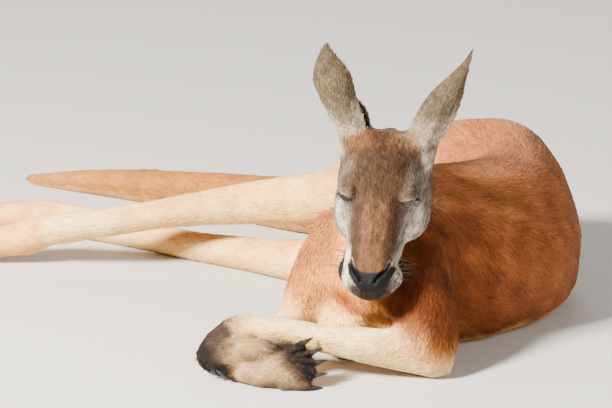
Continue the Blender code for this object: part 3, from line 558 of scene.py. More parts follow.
def ripple(points, scale, seed):
    """A slow, even wander between about -1 and 1 over the places given."""
    turns = np.random.default_rng(seed)
    total = np.zeros(len(points))
    for _ in range(7):
        way = turns.normal(size=3)
        way /= np.linalg.norm(way)
        wave = points @ way * (2 * math.pi / scale) * turns.uniform(0.6, 1.7)
        total += np.sin(wave + turns.uniform(0, 6.28))
    return total / 3.2


def paint(colour, amount):
    """Lays a colour over the hide, as thickly as the amount says."""
    amount = np.clip(amount, 0, 1)[:, None]
    marking[:] = marking * (1 - amount) + np.array(colour) * amount


broad = ripple(places, 0.16, 3)
patchy = ripple(places, 0.045, 5)
fine_patch = ripple(places, 0.016, 8)

# Trunk and neck: rust, paler along the top as a painted highlight where the light falls from above, cream
# beneath.
marking = np.tile(np.array(RUST), (len(places), 1))
upward = hide_normals[:, 2]
# Painted highlight: the upward-facing trunk is paler, as if lit from above.
paint(RUST_PALE, 0.75 * step(0.15, 0.95, upward + 0.15 * patchy) * step(0.10, 0.25, z))
# Painted shade: the trunk darkens towards the floor.
paint(RUST_DARK, 0.30 * fade(0.02, 0.16, z + 0.02 * broad))
# Painted light: the trunk is paler towards +x, lifting the shade on that end of the flank.
paint(RUST_PALE, 0.30 * step(0.42, 0.52, x))
paint(RUST_DARK, 0.22 * step(0.2, 0.9, broad))
paint(RUST_PALE, 0.25 * step(0.1, 0.9, patchy))
paint(CREAM, 0.8 * fade(-0.85, -0.45, upward))
neck = soft_part(["neck"])
paint(SANDY, 0.55 * neck)
front = fade(-0.395, -0.335, y) * soft_part(["chest", "neck"], 16) * fade(0.300, 0.350, x)
paint(PEACH, front)
paint(CREAM, front * fade(0.060, 0.120, z + 0.015 * patchy))
paint(CREAM, 0.6 * front * fade(0.225, 0.262, x) * fade(0.11, 0.17, z))
breast = soft_part(["chest", "upper_arm_right"], 8)
paint(ORANGE, 0.95 * near((0.215, -0.437, 0.104), 0.036) * breast)
paint(TAIL_TIP_TAN, 0.75 * near((0.188, -0.430, 0.082), 0.014) * breast)

# Legs: cream, warmer on top of the thigh and in a long faint blush; the rump's rust fades into them.
legs = soft_part(["thigh", "shank", "foot"], 26)
paint(CREAM, legs)
paint(IVORY, 0.7 * legs * step(-0.02, -0.16, x) + 0.4 * legs * step(0.2, 0.8, patchy))
paint(PEACH, 0.45 * legs * step(0.2, 0.9, upward) * step(-0.22, 0.02, x) * (0.6 + 0.4 * broad))
paint(SANDY, 0.60 * soft_part(["thigh_right"], 40) * step(0.10, 0.20, z))
paint(PEACH, 0.60 * soft_part(["foot"], 20))

# Tail: tan with a pale underside and a browner tip.
tail = soft_part(["tail"], 40)
paint(TAIL_TAN, tail * step(0.30, 0.14, x))
paint(RUST_PALE, 0.55 * tail * (step(0.12, 0.34, x)))
paint(TAIL_TIP_TAN, 0.8 * soft_part(["tail_tip"], 60) * step(-0.06, -0.24, x))
paint(CREAM, 0.7 * tail * fade(-0.75, -0.10, upward))

# Arms: sandy above, cream from the elbow down, and the hands darken to black fingers.
upper_left = soft_part(["upper_arm_left"], 14)
# The left upper arm is painted a darker rust than the right one's sandy: partly the fur's own colour,
# partly painted shade.
paint(ARM_RUST_SHADED, 0.95 * upper_left)
paint(SANDY, 0.30 * upper_left * step(0.0, 0.9, broad + patchy * 0.5))
paint(PEACH, 0.5 * upper_left * fade(0.035, 0.065, z))
paint(CREAM, upper_left * fade(0.020, 0.048, z + 0.006 * fine_patch))
paint(IVORY, 0.6 * upper_left * fade(0.010, 0.040, z))
upper_right = soft_part(["upper_arm_right"], 14)
paint(SANDY, 0.65 * upper_right)
paint(PEACH, 0.85 * upper_right * fade(0.110, 0.190, z) * step(0.140, 0.185, x + 0.4 * (0.11 - z)))
paint(CREAM, upper_right * fade(0.045, 0.115, z))
paint(ORANGE, 0.6 * near((0.150, -0.395, 0.082), 0.018) * upper_right)
forearms = soft_part(["forearm"], 14)
paint(CREAM, forearms)
paint(IVORY, 0.85 * forearms)
paint(CREAM, 0.9 * step(0.43, 0.45, -y) * fade(0.045, 0.065, z) * fade(0.20, 0.24, x))
hand_right = soft_part(["hand_right"], 10)
hand_left = soft_part(["hand_left"], 10)
paint(CREAM, np.maximum(hand_right, hand_left))
paint(PAW_FAWN, 0.75 * hand_right)
slant = x + 0.92 * (z - 0.055) + 0.004 * fine_patch
paint(PAW_BROWN, 0.75 * hand_right * step(0.108, 0.130, slant))
paint(PAW_BROWN, 0.60 * hand_right * fade(0.006, 0.018, z) * step(0.09, 0.12, x))
paint(PAW_BLACK, 0.95 * hand_right * step(0.124, 0.140, slant))
left_paw = np.maximum(hand_left, hand_right * fade(0.068, 0.078, x))
paint(PAW_FAWN, 0.80 * left_paw * fade(0.075, 0.100, x))
paint(PAW_BROWN, left_paw * fade(0.060, 0.082, x + 0.006 * fine_patch))
paint(PAW_BLACK, 0.95 * left_paw * fade(0.040, 0.062, x + 0.5 * (z - 0.03) + 0.005 * fine_patch))
paint(PAW_BLACK, 0.95 * left_paw * fade(0.028, 0.042, z + 0.004 * fine_patch) * fade(0.062, 0.080, x))
# Painted shade darkens the grooves between the fingers.
paint(PAW_GROOVE_SHADE, 0.90 * finger_share * (hand_left + hand_right))
fleck = step(0.15, 0.75, ripple(places, 0.0042, 33))
paint(PAW_BROWN, 0.85 * fleck * hand_right * step(0.080, 0.120, slant + 0.4 * (0.03 - z)))
paint(PAW_BLACK, 0.60 * fleck * hand_left * fade(0.060, 0.090, x))
toes = soft_part(["foot_left"], 8) * step(-0.43, -0.50, x)
toes = toes + soft_part(["foot_right"], 8) * step(-0.45, -0.52, x)
paint(PAW_BROWN, 0.85 * toes)

# Head: grey-brown over the brow, orange on the crown, tan down the muzzle, pale from the cheek
# to the lip, with a dark line down the middle.
head = soft_part(["head", "lower_jaw", "nose_pad"], 8)
side_share = np.abs(aside)
face_streaks = ripple(np.stack([along * 0.16, aside, out], 1), 0.0055, 31)
paint(FACE_BROWN, head)
nape = head * fade(-0.085, -0.050, out) * fade(0.005, 0.050, along)
paint(SANDY, 0.55 * nape)
paint(RUST, 0.45 * nape * step(-0.5, 0.7, patchy))
crown = head * fade(0.010, 0.036, along + 0.006 * patchy) * step(-0.105, -0.055, out)
paint(CROWN, 0.30 * crown)
for tuft_colour, aside_place, reach in ((CROWN, -0.034, 0.036), (CROWN_PALE, 0.034, 0.032)):
    paint(tuft_colour, 0.90 * head * near(POLL + AHEAD * 0.004 + LEFT * aside_place - OUT * 0.022, reach))
greying = np.maximum(step(0.026, 0.040, side_share), fade(-0.055, -0.030, out))
paint(FACE_GREY, 0.85 * head * greying * step(0.070, 0.105, along))
temple = head * step(0.030, 0.046, side_share) * (1 - 0.7 * eye_zone)
paint(FACE_GREY, 0.60 * temple * step(0.020, 0.060, along))
paint(CHEEK_PALE, 0.35 * temple * step(0.020, 0.070, along) * step(-0.5, 0.5, face_streaks))
# On the face's left the temple is painted paler still: pale fur there, and painted light lifting the shade
# on that side.
paint(CHEEK_PALE, 0.35 * temple * (aside > 0) * step(0.015, 0.050, along))
paint(
    MUZZLE_TAN,
    0.95 * head * step(0.075, 0.120, along) * fade(0.013, 0.024, side_share) * step(0.35, 0.75, facing),
)
cheek = head * step(0.080, 0.120, along) * fade(0.35, 0.72, facing) * step(0.014, 0.024, side_share)
paint(CHEEK_PALE, 0.80 * cheek)
paint(FACE_GREY, 0.65 * cheek * (aside < 0) * fade(0.110, 0.145, along) * step(0.030, 0.045, side_share))
stripe, _ = away_from_line(along, out, ((0.100, -0.040), (0.125, -0.046), (0.150, -0.050), (0.190, -0.046)))
paint(LIP_WHITE, 0.75 * head * bump_at(stripe, 0.014) * step(0.012, 0.022, side_share))
paint(FACE_GREY, 0.55 * head * near(POLL + AHEAD * 0.098 + OUT * -0.055, 0.03))
paint(CREAM, 0.85 * head * fade(-0.125, -0.078, out - 0.10 * (along - 0.12)) * step(0.040, 0.090, along))
paint(CHEEK_PALE, 0.55 * soft_part(["lower_jaw"], 6))
lip_side = head * step(0.150, 0.172, along) * step(0.0255, 0.0300, side_share) * step(-0.062, -0.054, out)
chin = head * step(0.190, 0.204, along) * step(-0.062, -0.054, out)
paint(NOSE_FUR, 0.90 * chin)
paint(LIP_WHITE, 0.90 * lip_side * (aside < 0) + 0.35 * lip_side)
paint(LIP_WHITE, 0.80 * chin * step(0.011, 0.017, -aside) * fade(0.205, 0.214, along))
paint(
    NOSE_FUR,
    0.80 * (lip_side + chin) * step(0.30, 0.70, ripple(places, 0.006, 11)) * step(0.172, 0.188, along),
)
paint(FACE_DARK, 0.55 * head * bump_at(aside, 0.0032) * fade(0.150, 0.172, along) * step(0.2, 0.6, facing))
paint(
    FACE_DARK,
    0.45 * head * bump_at(side_share - 0.019, 0.005) * step(0.115, 0.14, along) * step(0.3, 0.6, facing),
)
paint(FACE_DARK, 0.42 * head * step(0.15, 0.85, face_streaks) * step(0.060, 0.100, along))
paint(LIP_WHITE, 0.30 * cheek * step(0.15, 0.85, -face_streaks))
paint(LID_SKIN, 0.85 * lid_share)
for side, sign in (("left", 1), ("right", -1)):
    centre = np.array(eye_middle[side])
    paint(FACE_DARK, 0.85 * near(centre + AHEAD * 0.006 + LEFT * sign * 0.013 + OUT * 0.002, 0.0065) * head)
paint(FACE_GREY, 0.50 * cheek * (aside < 0) * fade(0.125, 0.155, along) * step(-0.6, 0.4, face_streaks))
# The lids' rims are painted black: dark skin, with painted shade along the slit.
paint(SKIN_AND_SHADE_BLACK, 0.90 * rim_share)
lip_shade = head * step(0.146, 0.156, along) * fade(0.196, 0.204, along) * step(0.0358, 0.0376, -aside)
paint(SKIN_AND_SHADE_BLACK, 0.85 * lip_shade)

# Ears: brown-grey backs, pale at the root and along the rim, cream inside.
for side, sign, low, high in (("left", 1, 20, 28), ("right", -1, -18, 68)):
    ear = soft_part([f"ear_{side}"], 6)
    low_corner, high_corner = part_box(f"ear_{side}")
    up = np.clip((z - low_corner.z) / (high_corner.z - low_corner.z), 0, 1)
    angle = np.radians(low + (high - low) * up * up * (3 - 2 * up))
    inside_ear = step(0.10, 0.50, hide_normals[:, 0] * np.cos(angle) + hide_normals[:, 1] * np.sin(angle))
    paint(EAR_BACK, ear)
    paint(EAR_PALE, 0.75 * ear * fade(0.10, 0.42, up + 0.05 * fine_patch))
    paint(FACE_BROWN, 0.35 * ear * step(0.55, 1.0, up))
    paint(EAR_PALE, 0.85 * ear * inside_ear)
WHITE_SPOTS = (
    (0.020, 0.056, -0.045, 0.017),
    (0.036, 0.056, -0.045, 0.013),
    (0.010, 0.050, -0.032, 0.013),
    (0.028, 0.053, -0.034, 0.011),
    (0.024, -0.056, -0.045, 0.015),
    (0.012, -0.056, -0.045, 0.012),
)
for down, sideways, outward, reach in WHITE_SPOTS:
    paint(LIP_WHITE, 0.90 * near(POLL + AHEAD * down + LEFT * sideways + OUT * outward, reach))

# The nose pad and the mouth's line are bare; so is the rim of each slit between the lids.
NOSE_TOP = ((0.0, 0.1935), (0.010, 0.1920), (0.018, 0.1880), (0.024, 0.1820), (0.030, 0.1790))
NOSE_SIDES = ((0.182, 0.0300), (0.195, 0.0262), (0.206, 0.0190), (0.217, 0.0080))
edge = np.interp(side_share, *zip(*NOSE_TOP))
nose_bare = np.isin(owner_name, ("head", "nose_pad", "lower_jaw")) * step(-0.0015, 0.0015, along - edge)
side_edge = np.interp(along, *zip(*NOSE_SIDES)) + 0.004 * (aside > 0)
nose_bare = nose_bare * step(-0.0570, -0.0520, out) * fade(-0.0012, 0.0012, side_share - side_edge)
lip_line = bump_at(from_mouth, 0.0032) * head * step(0.125, 0.150, along)
bare = np.clip(nose_bare + 0.9 * lip_line + slit_share + rim_share, 0, 1)
paint(NOSE_BLACK, nose_bare)
paint(NOSE_BLACK, 0.85 * lip_line)
# Painted shade: the slit between the lids and the fold at its outer corner are painted black.
paint(SKIN_AND_SHADE_BLACK, slit_share)

marking = marking * (1 + 0.05 * fine_patch[:, None] + 0.04 * patchy[:, None])
marking = np.clip(marking, 0.02, 0.98) ** 2.2


# ---------------------------------------------------------------- the lie of the coat
# Hair runs back from the nose over the face, down the neck and flanks to the tail, and down each
# limb to its toes. The way it lies comes from the order of the parts, blended over the hide.
LIE = {
    "neck": ("neck", "chest"),
    "chest": ("neck", "waist"),
    "waist": ("chest", "hips"),
    "hips": ("waist", "tail_base"),
    "tail_base": ("hips", "tail_middle"),
    "tail_middle": ("tail_base", "tail_tip"),
    "tail_tip": ("tail_middle", "tail_tip"),
    "upper_arm_left": ("upper_arm_right", "upper_arm_left"),
    "forearm_left": ("forearm_left", "hand_left"),
    "hand_left": ("forearm_left", "hand_left"),
    "forearm_right": ("upper_arm_right", "hand_right"),
    "hand_right": ("hand_right", "claw_hand_right_3"),
    "thigh_left": ("hips", "shank_left"),
    "thigh_right": ("hips", "shank_right"),
    "shank_left": ("thigh_left", "foot_left"),
    "shank_right": ("thigh_right", "foot_right"),
    "foot_left": ("shank_left", "foot_left"),
    "foot_right": ("shank_right", "foot_right"),
}
hair_length = hair_length * (1 - 0.70 * eye_zone)
hair_width = hair_width * (1 - 0.35 * eye_zone)
way_of = np.zeros((len(names), 3))
for i, name in enumerate(names):
    if name in LIE:
        start, end = LIE[name]
        way_of[i] = node_middle[end] - node_middle[start]
    elif name.startswith("ear"):
        way_of[i] = (0, 0, 1)
    elif name.startswith("upper_arm"):
        way_of[i] = (0, 0, -1)
    else:
        way_of[i] = -np.array(AHEAD)
way_of[names == "upper_arm_left"] = (0.10, -0.10, -1)
way_of[names == "ear_left"] = (0.49, 0.10, 0.86)
way_of /= np.maximum(np.linalg.norm(way_of, axis=1, keepdims=True), 1e-9)
lie = way_of[owner]
trunk = soft_part(["chest", "waist", "hips"], 10)
lie = lie + np.array((0, 0, -0.55)) * (trunk * (1 - np.abs(upward)))[:, None]
lie = net.smooth(lie, 40)
lie = lie * (1 - eye_zone)[:, None] + eye_lie
lie += 0.16 * np.stack([ripple(places, 0.030, 21), ripple(places, 0.034, 22), ripple(places, 0.038, 23)], 1)
lie -= hide_normals * (lie * hide_normals).sum(1, keepdims=True)
lie /= np.maximum(np.linalg.norm(lie, axis=1, keepdims=True), 1e-9)


# ---------------------------------------------------------------- the coat
# Short dense fur: thousands of flat pointed locks that overlap like shingles, each rising a hair's
# breadth from its root and lying back down along the body. They are shortest on the face and feet.
COATS = {
    "coat_head": (("head", "lower_jaw", "nose_pad"), 48000, 0.42, "coat_grey"),
    "coat_ears": (("ear",), 18000, 0.48, "ear"),
    "coat_neck_chest": (("neck", "chest"), 48000, 0.21, "coat_rufous"),
    "coat_flank": (("waist",), 48000, 0.21, "coat_rufous"),
    "coat_rump": (("hips", "tail_base"), 49000, 0.21, "coat_rufous"),
    "coat_arms": (("upper_arm", "forearm", "hand"), 49000, 0.20, "coat_tan"),
    "coat_legs": (("thigh", "shank", "foot"), 49000, 0.11, "coat_cream"),
    "coat_tail": (("tail_middle", "tail_tip"), 24000, 0.15, "coat_tan"),
}
LOCK_PATCH = 0.003
LOCK_LIFT = 0.085
LOCK_TURN = 0.13
LOCK_SINK = 0.0004
RIDGE_ALONG, RIDGE_HEIGHT = 0.42, 0.20
LOCK_CLEARANCE = 0.0004
UNDERSIDE, UNDERSIDE_SHARE = 0.0022, 0.02
ROOT_SHADE = 0.80
TIP_SHADE = 1.08

hide.data.attributes.new("markings", "FLOAT_COLOR", "POINT")
hide.data.attributes.new("bare", "FLOAT", "POINT")


def set_colours(data, name, colours):
    """Writes a colour for each corner of a mesh."""
    layer = data.attributes[name]
    full = np.ones((len(colours), 4), np.float32)
    full[:, :3] = colours
    layer.data.foreach_set("color", full.ravel())


def unwrapped(part_faces):
    """Flat places for the corners of some of the hide's triangles, from an unwrap of their shape."""
    used, local = np.unique(part_faces, return_inverse=True)
    scrap = new_object("scrap", places[used], local.reshape(-1, 3))
    bpy.context.view_layer.objects.active = scrap
    scrap.select_set(True)
    bpy.ops.object.mode_set(mode="EDIT")
    bpy.ops.mesh.select_all(action="SELECT")
    bpy.ops.uv.smart_project(angle_limit=math.radians(66), island_margin=0.002)
    bpy.ops.object.mode_set(mode="OBJECT")
    flat = np.empty(len(scrap.data.loops) * 2, np.float32)
    scrap.data.uv_layers.active.data.foreach_get("uv", flat)
    order = np.empty(len(scrap.data.loops), np.int32)
    scrap.data.loops.foreach_get("vertex_index", order)
    data = scrap.data
    bpy.data.objects.remove(scrap)
    bpy.data.meshes.remove(data)
    return flat.reshape(-1, 3, 2)


def lock_shapes(roots, ups, ways, lengths, widths, rise, chance):
    """The corners of thin locks: two at the root, one on the back and the tip."""
    across = np.cross(ways, ups)
    turn = chance.normal(0, LOCK_TURN, len(roots))
    ways = ways + across * turn[:, None]
    ways /= np.linalg.norm(ways, axis=1, keepdims=True)
    across = np.cross(ways, ups)
    lengths = lengths * chance.uniform(0.70, 1.20, len(roots))
    widths = widths * chance.uniform(0.75, 1.25, len(roots))
    rise = rise * chance.uniform(0.55, 1.45, len(roots))
    half = across * (widths * 0.5)[:, None]
    sunk = ups * LOCK_SINK
    left = roots - half - sunk
    right = roots + half - sunk
    back = roots + ways * (lengths * RIDGE_ALONG)[:, None]
    back = back + ups * (lengths * rise + widths * RIDGE_HEIGHT)[:, None]
    tips = roots + ways * lengths[:, None] + ups * (lengths * rise * 1.05)[:, None]
    tips += across * (widths * chance.normal(0, 0.30, len(roots)))[:, None]
    return np.stack([left, right, back, tips], 1), across, ways


def add_coat(name, starts, count, strand_change, seed):
    """Roots locks evenly over some of the hide and joins them into one piece."""
    chance = np.random.default_rng(seed)
    member = np.zeros(len(places), bool)
    for start in starts:
        member |= np.char.startswith(owner_name, start)
    part_faces = faces[member[faces[:, 0]]]
    flat = unwrapped(part_faces)
    corners = places[part_faces]
    crosses = np.cross(corners[:, 1] - corners[:, 0], corners[:, 2] - corners[:, 0])
    area = 0.5 * np.linalg.norm(crosses, axis=1)
    size = (hair_length * hair_width)[part_faces].mean(1)
    covered = 1 - bare[part_faces].mean(1)
    hidden = corners[:, :, 2].max(1) < UNDERSIDE
    weight = area * covered / size ** 0.5 * np.where(hidden, UNDERSIDE_SHARE, 1)
    total = np.cumsum(weight)
    pick = np.searchsorted(total, (np.arange(count) + chance.random(count)) / count * total[-1])
    pick = np.minimum(pick, len(part_faces) - 1)
    u, v = chance.random((2, count))
    flip = u + v > 1
    u[flip], v[flip] = 1 - u[flip], 1 - v[flip]
    share = np.stack([1 - u - v, u, v], 1)
    rows = part_faces[pick]

    def at_root(values):
        """A value of the hide at each lock's root."""
        picked = values[rows]
        return (picked * (share[:, :, None] if values.ndim > 1 else share)).sum(1)

    roots, ups, ways = at_root(places), at_root(hide_normals), at_root(lie)
    ups /= np.linalg.norm(ups, axis=1, keepdims=True)
    ways -= ups * (ways * ups).sum(1, keepdims=True)
    ways /= np.maximum(np.linalg.norm(ways, axis=1, keepdims=True), 1e-9)
    shapes, across, ways = lock_shapes(
        roots, ups, ways, at_root(hair_length), at_root(hair_width), LOCK_LIFT, chance
    )
    lowest = LOCK_CLEARANCE + 0.0006 * chance.random((count, 4))
    shapes[:, :, 2] = np.maximum(shapes[:, :, 2], lowest)
    grizzle = 1 + 0.5 * strand_change * ripple(roots, 0.009, seed)
    tint = at_root(marking) * (grizzle * chance.normal(1.0, strand_change, count).clip(0.4, 1.7))[:, None]
    tone = np.array((ROOT_SHADE, ROOT_SHADE, 1.0, TIP_SHADE))
    colours = (tint[:, None, :] * tone[None, :, None]).clip(0.002, 0.95)
    patch = (flat[pick] * share[:, :, None]).sum(1)
    patch_corners = np.array(((0, 0), (1, 0), (0.5, 0.5), (0.5, 1)))
    spots = patch[:, None, :] + LOCK_PATCH * (patch_corners[None] - 0.5)
    base = np.arange(count)[:, None] * 4
    order = np.array(((0, 1, 2), (0, 2, 3), (1, 3, 2), (0, 3, 1)))
    lock_faces = base[:, :, None] + order[None]
    # A lock pressed flat on the floor can turn inside out, so its faces are turned back.
    spans = shapes[:, 1:] - shapes[:, :1]
    turned = (np.cross(spans[:, 0], spans[:, 1]) * spans[:, 2]).sum(1) > 0
    lock_faces[turned] = lock_faces[turned][:, :, ::-1]
    piece = new_object(name, shapes.reshape(-1, 3), lock_faces.reshape(-1, 3))
    data = piece.data
    data.attributes.new("markings", "FLOAT_COLOR", "POINT")
    set_colours(data, "markings", colours.reshape(-1, 3))
    uv = data.uv_layers.new(name="OFBake")
    corner_order = np.empty(len(data.loops), np.int32)
    data.loops.foreach_get("vertex_index", corner_order)
    uv.data.foreach_set("uv", spots.reshape(-1, 2)[corner_order].clip(0, 1).astype(np.float32).ravel())
    left_lean = ups - across * 0.55 - ways * 0.15
    right_lean = ups + across * 0.55 - ways * 0.15
    leans = np.stack([left_lean, right_lean, ups, ups + ways * 0.25], 1)
    leans /= np.linalg.norm(leans, axis=2, keepdims=True)
    data.shade_smooth()
    data.normals_split_custom_set_from_vertices(leans.reshape(-1, 3).tolist())
    return piece


coats = []
for seed, (name, (starts, count, strand_change, slot_name)) in enumerate(COATS.items()):
    piece = add_coat(name, starts, count, strand_change, 100 + seed)
    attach(piece, "root")
    coats.append(piece)
set_colours(hide.data, "markings", marking)
hide.data.attributes["bare"].data.foreach_set("value", bare.astype(np.float32))
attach(hide, "root")
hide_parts(*flesh)


def principled(name):
    """A new material with its shader and its node tree."""
    material = bpy.data.materials.new(name)
    material.use_nodes = True
    tree = material.node_tree
    return material, tree, tree.nodes["Principled BSDF"]


def add_node(tree, kind, links=(), **values):
    """A shader node with its inputs set by name, linked from other nodes' outputs."""
    node = tree.nodes.new(kind)
    for key, value in values.items():
        if key in node.inputs:
            node.inputs[key].default_value = value
        else:
            setattr(node, key, value)
    for source, output, target in links:
        tree.links.new(source.outputs[output], node.inputs[target])
    return node


def new_group(name, inputs, outputs):
    """A shader group with named inputs and outputs, and the nodes at its two ends."""
    group = bpy.data.node_groups.new(name, "ShaderNodeTree")
    for label, (kind, value) in inputs.items():
        socket = group.interface.new_socket(label, in_out="INPUT", socket_type="NodeSocket" + kind)
        socket.default_value = value
    for label, kind in outputs.items():
        group.interface.new_socket(label, in_out="OUTPUT", socket_type="NodeSocket" + kind)
    return group, group.nodes.new("NodeGroupInput"), group.nodes.new("NodeGroupOutput")


# Hair and skin alike change a little in tone from strand to strand of the markings.
mottle, given, made = new_group(
    "mottled_markings",
    {
        "Markings": ("Color", (1.0, 1.0, 1.0, 1.0)),
        "Scale": ("Float", 420.0),
        "Detail": ("Float", 3.0),
        "Roughness": ("Float", 0.5),
        "Darkest": ("Float", 0.80),
        "Lightest": ("Float", 1.20),
    },
    {"Colour": "Color", "Grain": "Float"},
)
where = mottle.nodes.new("ShaderNodeTexCoord")
sizes = [(given, label, label) for label in ("Scale", "Detail", "Roughness")]
grain = add_node(mottle, "ShaderNodeTexNoise", [(where, "Object", "Vector"), *sizes])
ends = [(given, "Darkest", "To Min"), (given, "Lightest", "To Max")]
shade = add_node(mottle, "ShaderNodeMapRange", [(grain, "Fac", "Value"), *ends])
both = [(given, "Markings", 0), (shade, "Result", 1)]
tinted = add_node(mottle, "ShaderNodeVectorMath", both, operation="MULTIPLY")
mottle.links.new(tinted.outputs["Vector"], made.inputs["Colour"])
mottle.links.new(grain.outputs["Fac"], made.inputs["Grain"])


def mottled(tree, shader, **values):
    """Puts the markings on a shader, mottled, and gives the node whose grain they follow."""
    markings = add_node(tree, "ShaderNodeAttribute", attribute_name="markings")
    links = [(markings, "Color", "Markings")]
    node = add_node(tree, "ShaderNodeGroup", links, node_tree=mottle, **values)
    tree.links.new(node.outputs["Colour"], shader.inputs["Base Color"])
    return node


def roughened(tree, shader, source, output, low, high):
    """Makes a shader's roughness follow another node, between two values."""
    node = add_node(tree, "ShaderNodeMapRange", [(source, output, "Value")])
    node.inputs["To Min"].default_value = low
    node.inputs["To Max"].default_value = high
    tree.links.new(node.outputs["Result"], shader.inputs["Roughness"])


# Locks: the markings with a fine strand-to-strand change, matt, with a faint sheen at the edges.
fur, tree, shader = principled("coat_hair")
strands = mottled(tree, shader, Scale=420.0, Detail=3.0, Roughness=0.5, Darkest=0.80, Lightest=1.20)
roughened(tree, shader, strands, "Grain", 0.62, 0.86)
shader.inputs["Specular IOR Level"].default_value = 0.16
shader.inputs["Sheen Weight"].default_value = 0.06
shader.inputs["Sheen Roughness"].default_value = 0.45
shader.inputs["Sheen Tint"].default_value = (1.0, 0.90, 0.80, 1.0)
for piece in coats:
    piece.data.materials.append(fur)

# Hide: the same markings a little darker, as undercoat, with fine bump; the bare nose and lip are
# dark, pebbled and slightly moist.
skin, tree, shader = principled("hide_skin")
nap = mottled(tree, shader, Scale=650.0, Detail=5.0, Roughness=0.65, Darkest=0.66, Lightest=1.04)
bare_node = add_node(tree, "ShaderNodeAttribute", attribute_name="bare")
roughened(tree, shader, bare_node, "Fac", 0.85, 0.50)
where = tree.nodes.new("ShaderNodeTexCoord")
pebbles = add_node(tree, "ShaderNodeTexVoronoi", [(where, "Object", "Vector")], Scale=900.0)
sources = [(bare_node, "Fac", "Factor"), (nap, "Grain", "A"), (pebbles, "Distance", "B")]
relief = add_node(tree, "ShaderNodeMix", sources)
raised = add_node(tree, "ShaderNodeBump", [(relief, "Result", "Height")], Strength=0.60, Distance=0.0010)
tree.links.new(raised.outputs["Normal"], shader.inputs["Normal"])
shader.inputs["Specular IOR Level"].default_value = 0.16
hide.data.materials.append(skin)


# ---------------------------------------------------------------- the whiskers and lashes
# Stiff dark whiskers stand out of the lips and short lashes hang from the upper lids. Each is one
# thick tapering hair, set into the skin at its root.
WHISKERS = 40
WHISKER_RADIUS = 0.00034
WHISKER_LENGTHS = (0.018, 0.040)
WHISKER_DROOP = 0.25
LASH_RADIUS = 0.00045
LASH_LENGTHS = (0.0060, 0.0095)
LASH_DROOP = 0.30
BRISTLE_RINGS = 6
BRISTLE_SIDES = 3


def bristle_arrays(root, way, length, radius, droop):
    """The corners and triangles of one tapering, drooping hair."""
    side = np.cross(way, (0, 0, 1.0))
    side /= np.linalg.norm(side)
    over = np.cross(way, side)
    rings = []
    for k in range(BRISTLE_RINGS):
        share = k / BRISTLE_RINGS
        middle = root + way * length * share - np.array((0, 0, droop * length * share**2))
        for j in range(BRISTLE_SIDES):
            angle = 2 * math.pi * j / BRISTLE_SIDES
            outwards = side * math.cos(angle) + over * math.sin(angle)
            rings.append(middle + outwards * radius * (1 - share))
    rings.append(root + way * length - np.array((0, 0, droop * length)))
    tip = len(rings) - 1
    faces = [(0, 2, 1)]
    for k in range(BRISTLE_RINGS - 1):
        for j in range(BRISTLE_SIDES):
            a, b = k * BRISTLE_SIDES + j, k * BRISTLE_SIDES + (j + 1) % BRISTLE_SIDES
            faces += [(a, b, b + BRISTLE_SIDES), (a, b + BRISTLE_SIDES, a + BRISTLE_SIDES)]
    last = (BRISTLE_RINGS - 1) * BRISTLE_SIDES
    faces += [(last + j, last + (j + 1) % BRISTLE_SIDES, tip) for j in range(BRISTLE_SIDES)]
    return np.array(rings), np.array(faces)


def add_bristles(name, rows):
    """Joins many bristles, given as root, way, length, radius and droop, into one piece."""
    all_places, all_faces, total = [], [], 0
    for row in rows:
        bristle, bristle_faces = bristle_arrays(*row)
        all_places.append(bristle)
        all_faces.append(bristle_faces + total)
        total += len(bristle)
    piece = new_object(name, np.concatenate(all_places), np.concatenate(all_faces))
    piece.data.shade_smooth()
    piece.data.materials.append(bristle_horn)
    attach(piece, "root")


# Horn and the eyes' brown are streaked alike: a dark tone runs into a lighter one with the grain.
streaks, given, made = new_group(
    "streaks",
    {
        "Stretch": ("Vector", (260.0, 260.0, 260.0)),
        "Detail": ("Float", 4.0),
        "Dark Below": ("Float", 0.0),
        "Light Above": ("Float", 1.0),
        "Dark": ("Color", (0.004, 0.003, 0.003, 1.0)),
        "Light": ("Color", (0.045, 0.034, 0.027, 1.0)),
    },
    {"Colour": "Color", "Grain": "Float"},
)
where = streaks.nodes.new("ShaderNodeTexCoord")
scaling = [(where, "Object", "Vector"), (given, "Stretch", "Scale")]
stretch = add_node(streaks, "ShaderNodeMapping", scaling)
sources = [(stretch, "Vector", "Vector"), (given, "Detail", "Detail")]
grain = add_node(streaks, "ShaderNodeTexNoise", sources, Scale=1.0)
ends = [(given, "Dark Below", "From Min"), (given, "Light Above", "From Max")]
lightness = add_node(streaks, "ShaderNodeMapRange", [(grain, "Fac", "Value"), *ends])
# The mix's own colour sockets, which share their names with its number sockets.
DARK_SOCKET, LIGHT_SOCKET, COLOUR_RESULT = 6, 7, 2
tones = [(lightness, "Result", 0), (given, "Dark", DARK_SOCKET), (given, "Light", LIGHT_SOCKET)]
toned = add_node(streaks, "ShaderNodeMix", tones, data_type="RGBA")
streaks.links.new(toned.outputs[COLOUR_RESULT], made.inputs["Colour"])
streaks.links.new(grain.outputs["Fac"], made.inputs["Grain"])


def streaked(tree, shader, **values):
    """Streaks a shader's colour, and gives the node whose grain it follows."""
    node = add_node(tree, "ShaderNodeGroup", node_tree=streaks, **values)
    tree.links.new(node.outputs["Colour"], shader.inputs["Base Color"])
    return node


bristle_horn, tree, shader = principled("bristle_horn")
streaked(
    tree, shader, Stretch=(500, 500, 500), Detail=2.0,
    Dark=(0.006, 0.005, 0.004, 1), Light=(0.050, 0.040, 0.032, 1),
)
shader.inputs["Roughness"].default_value = 0.45

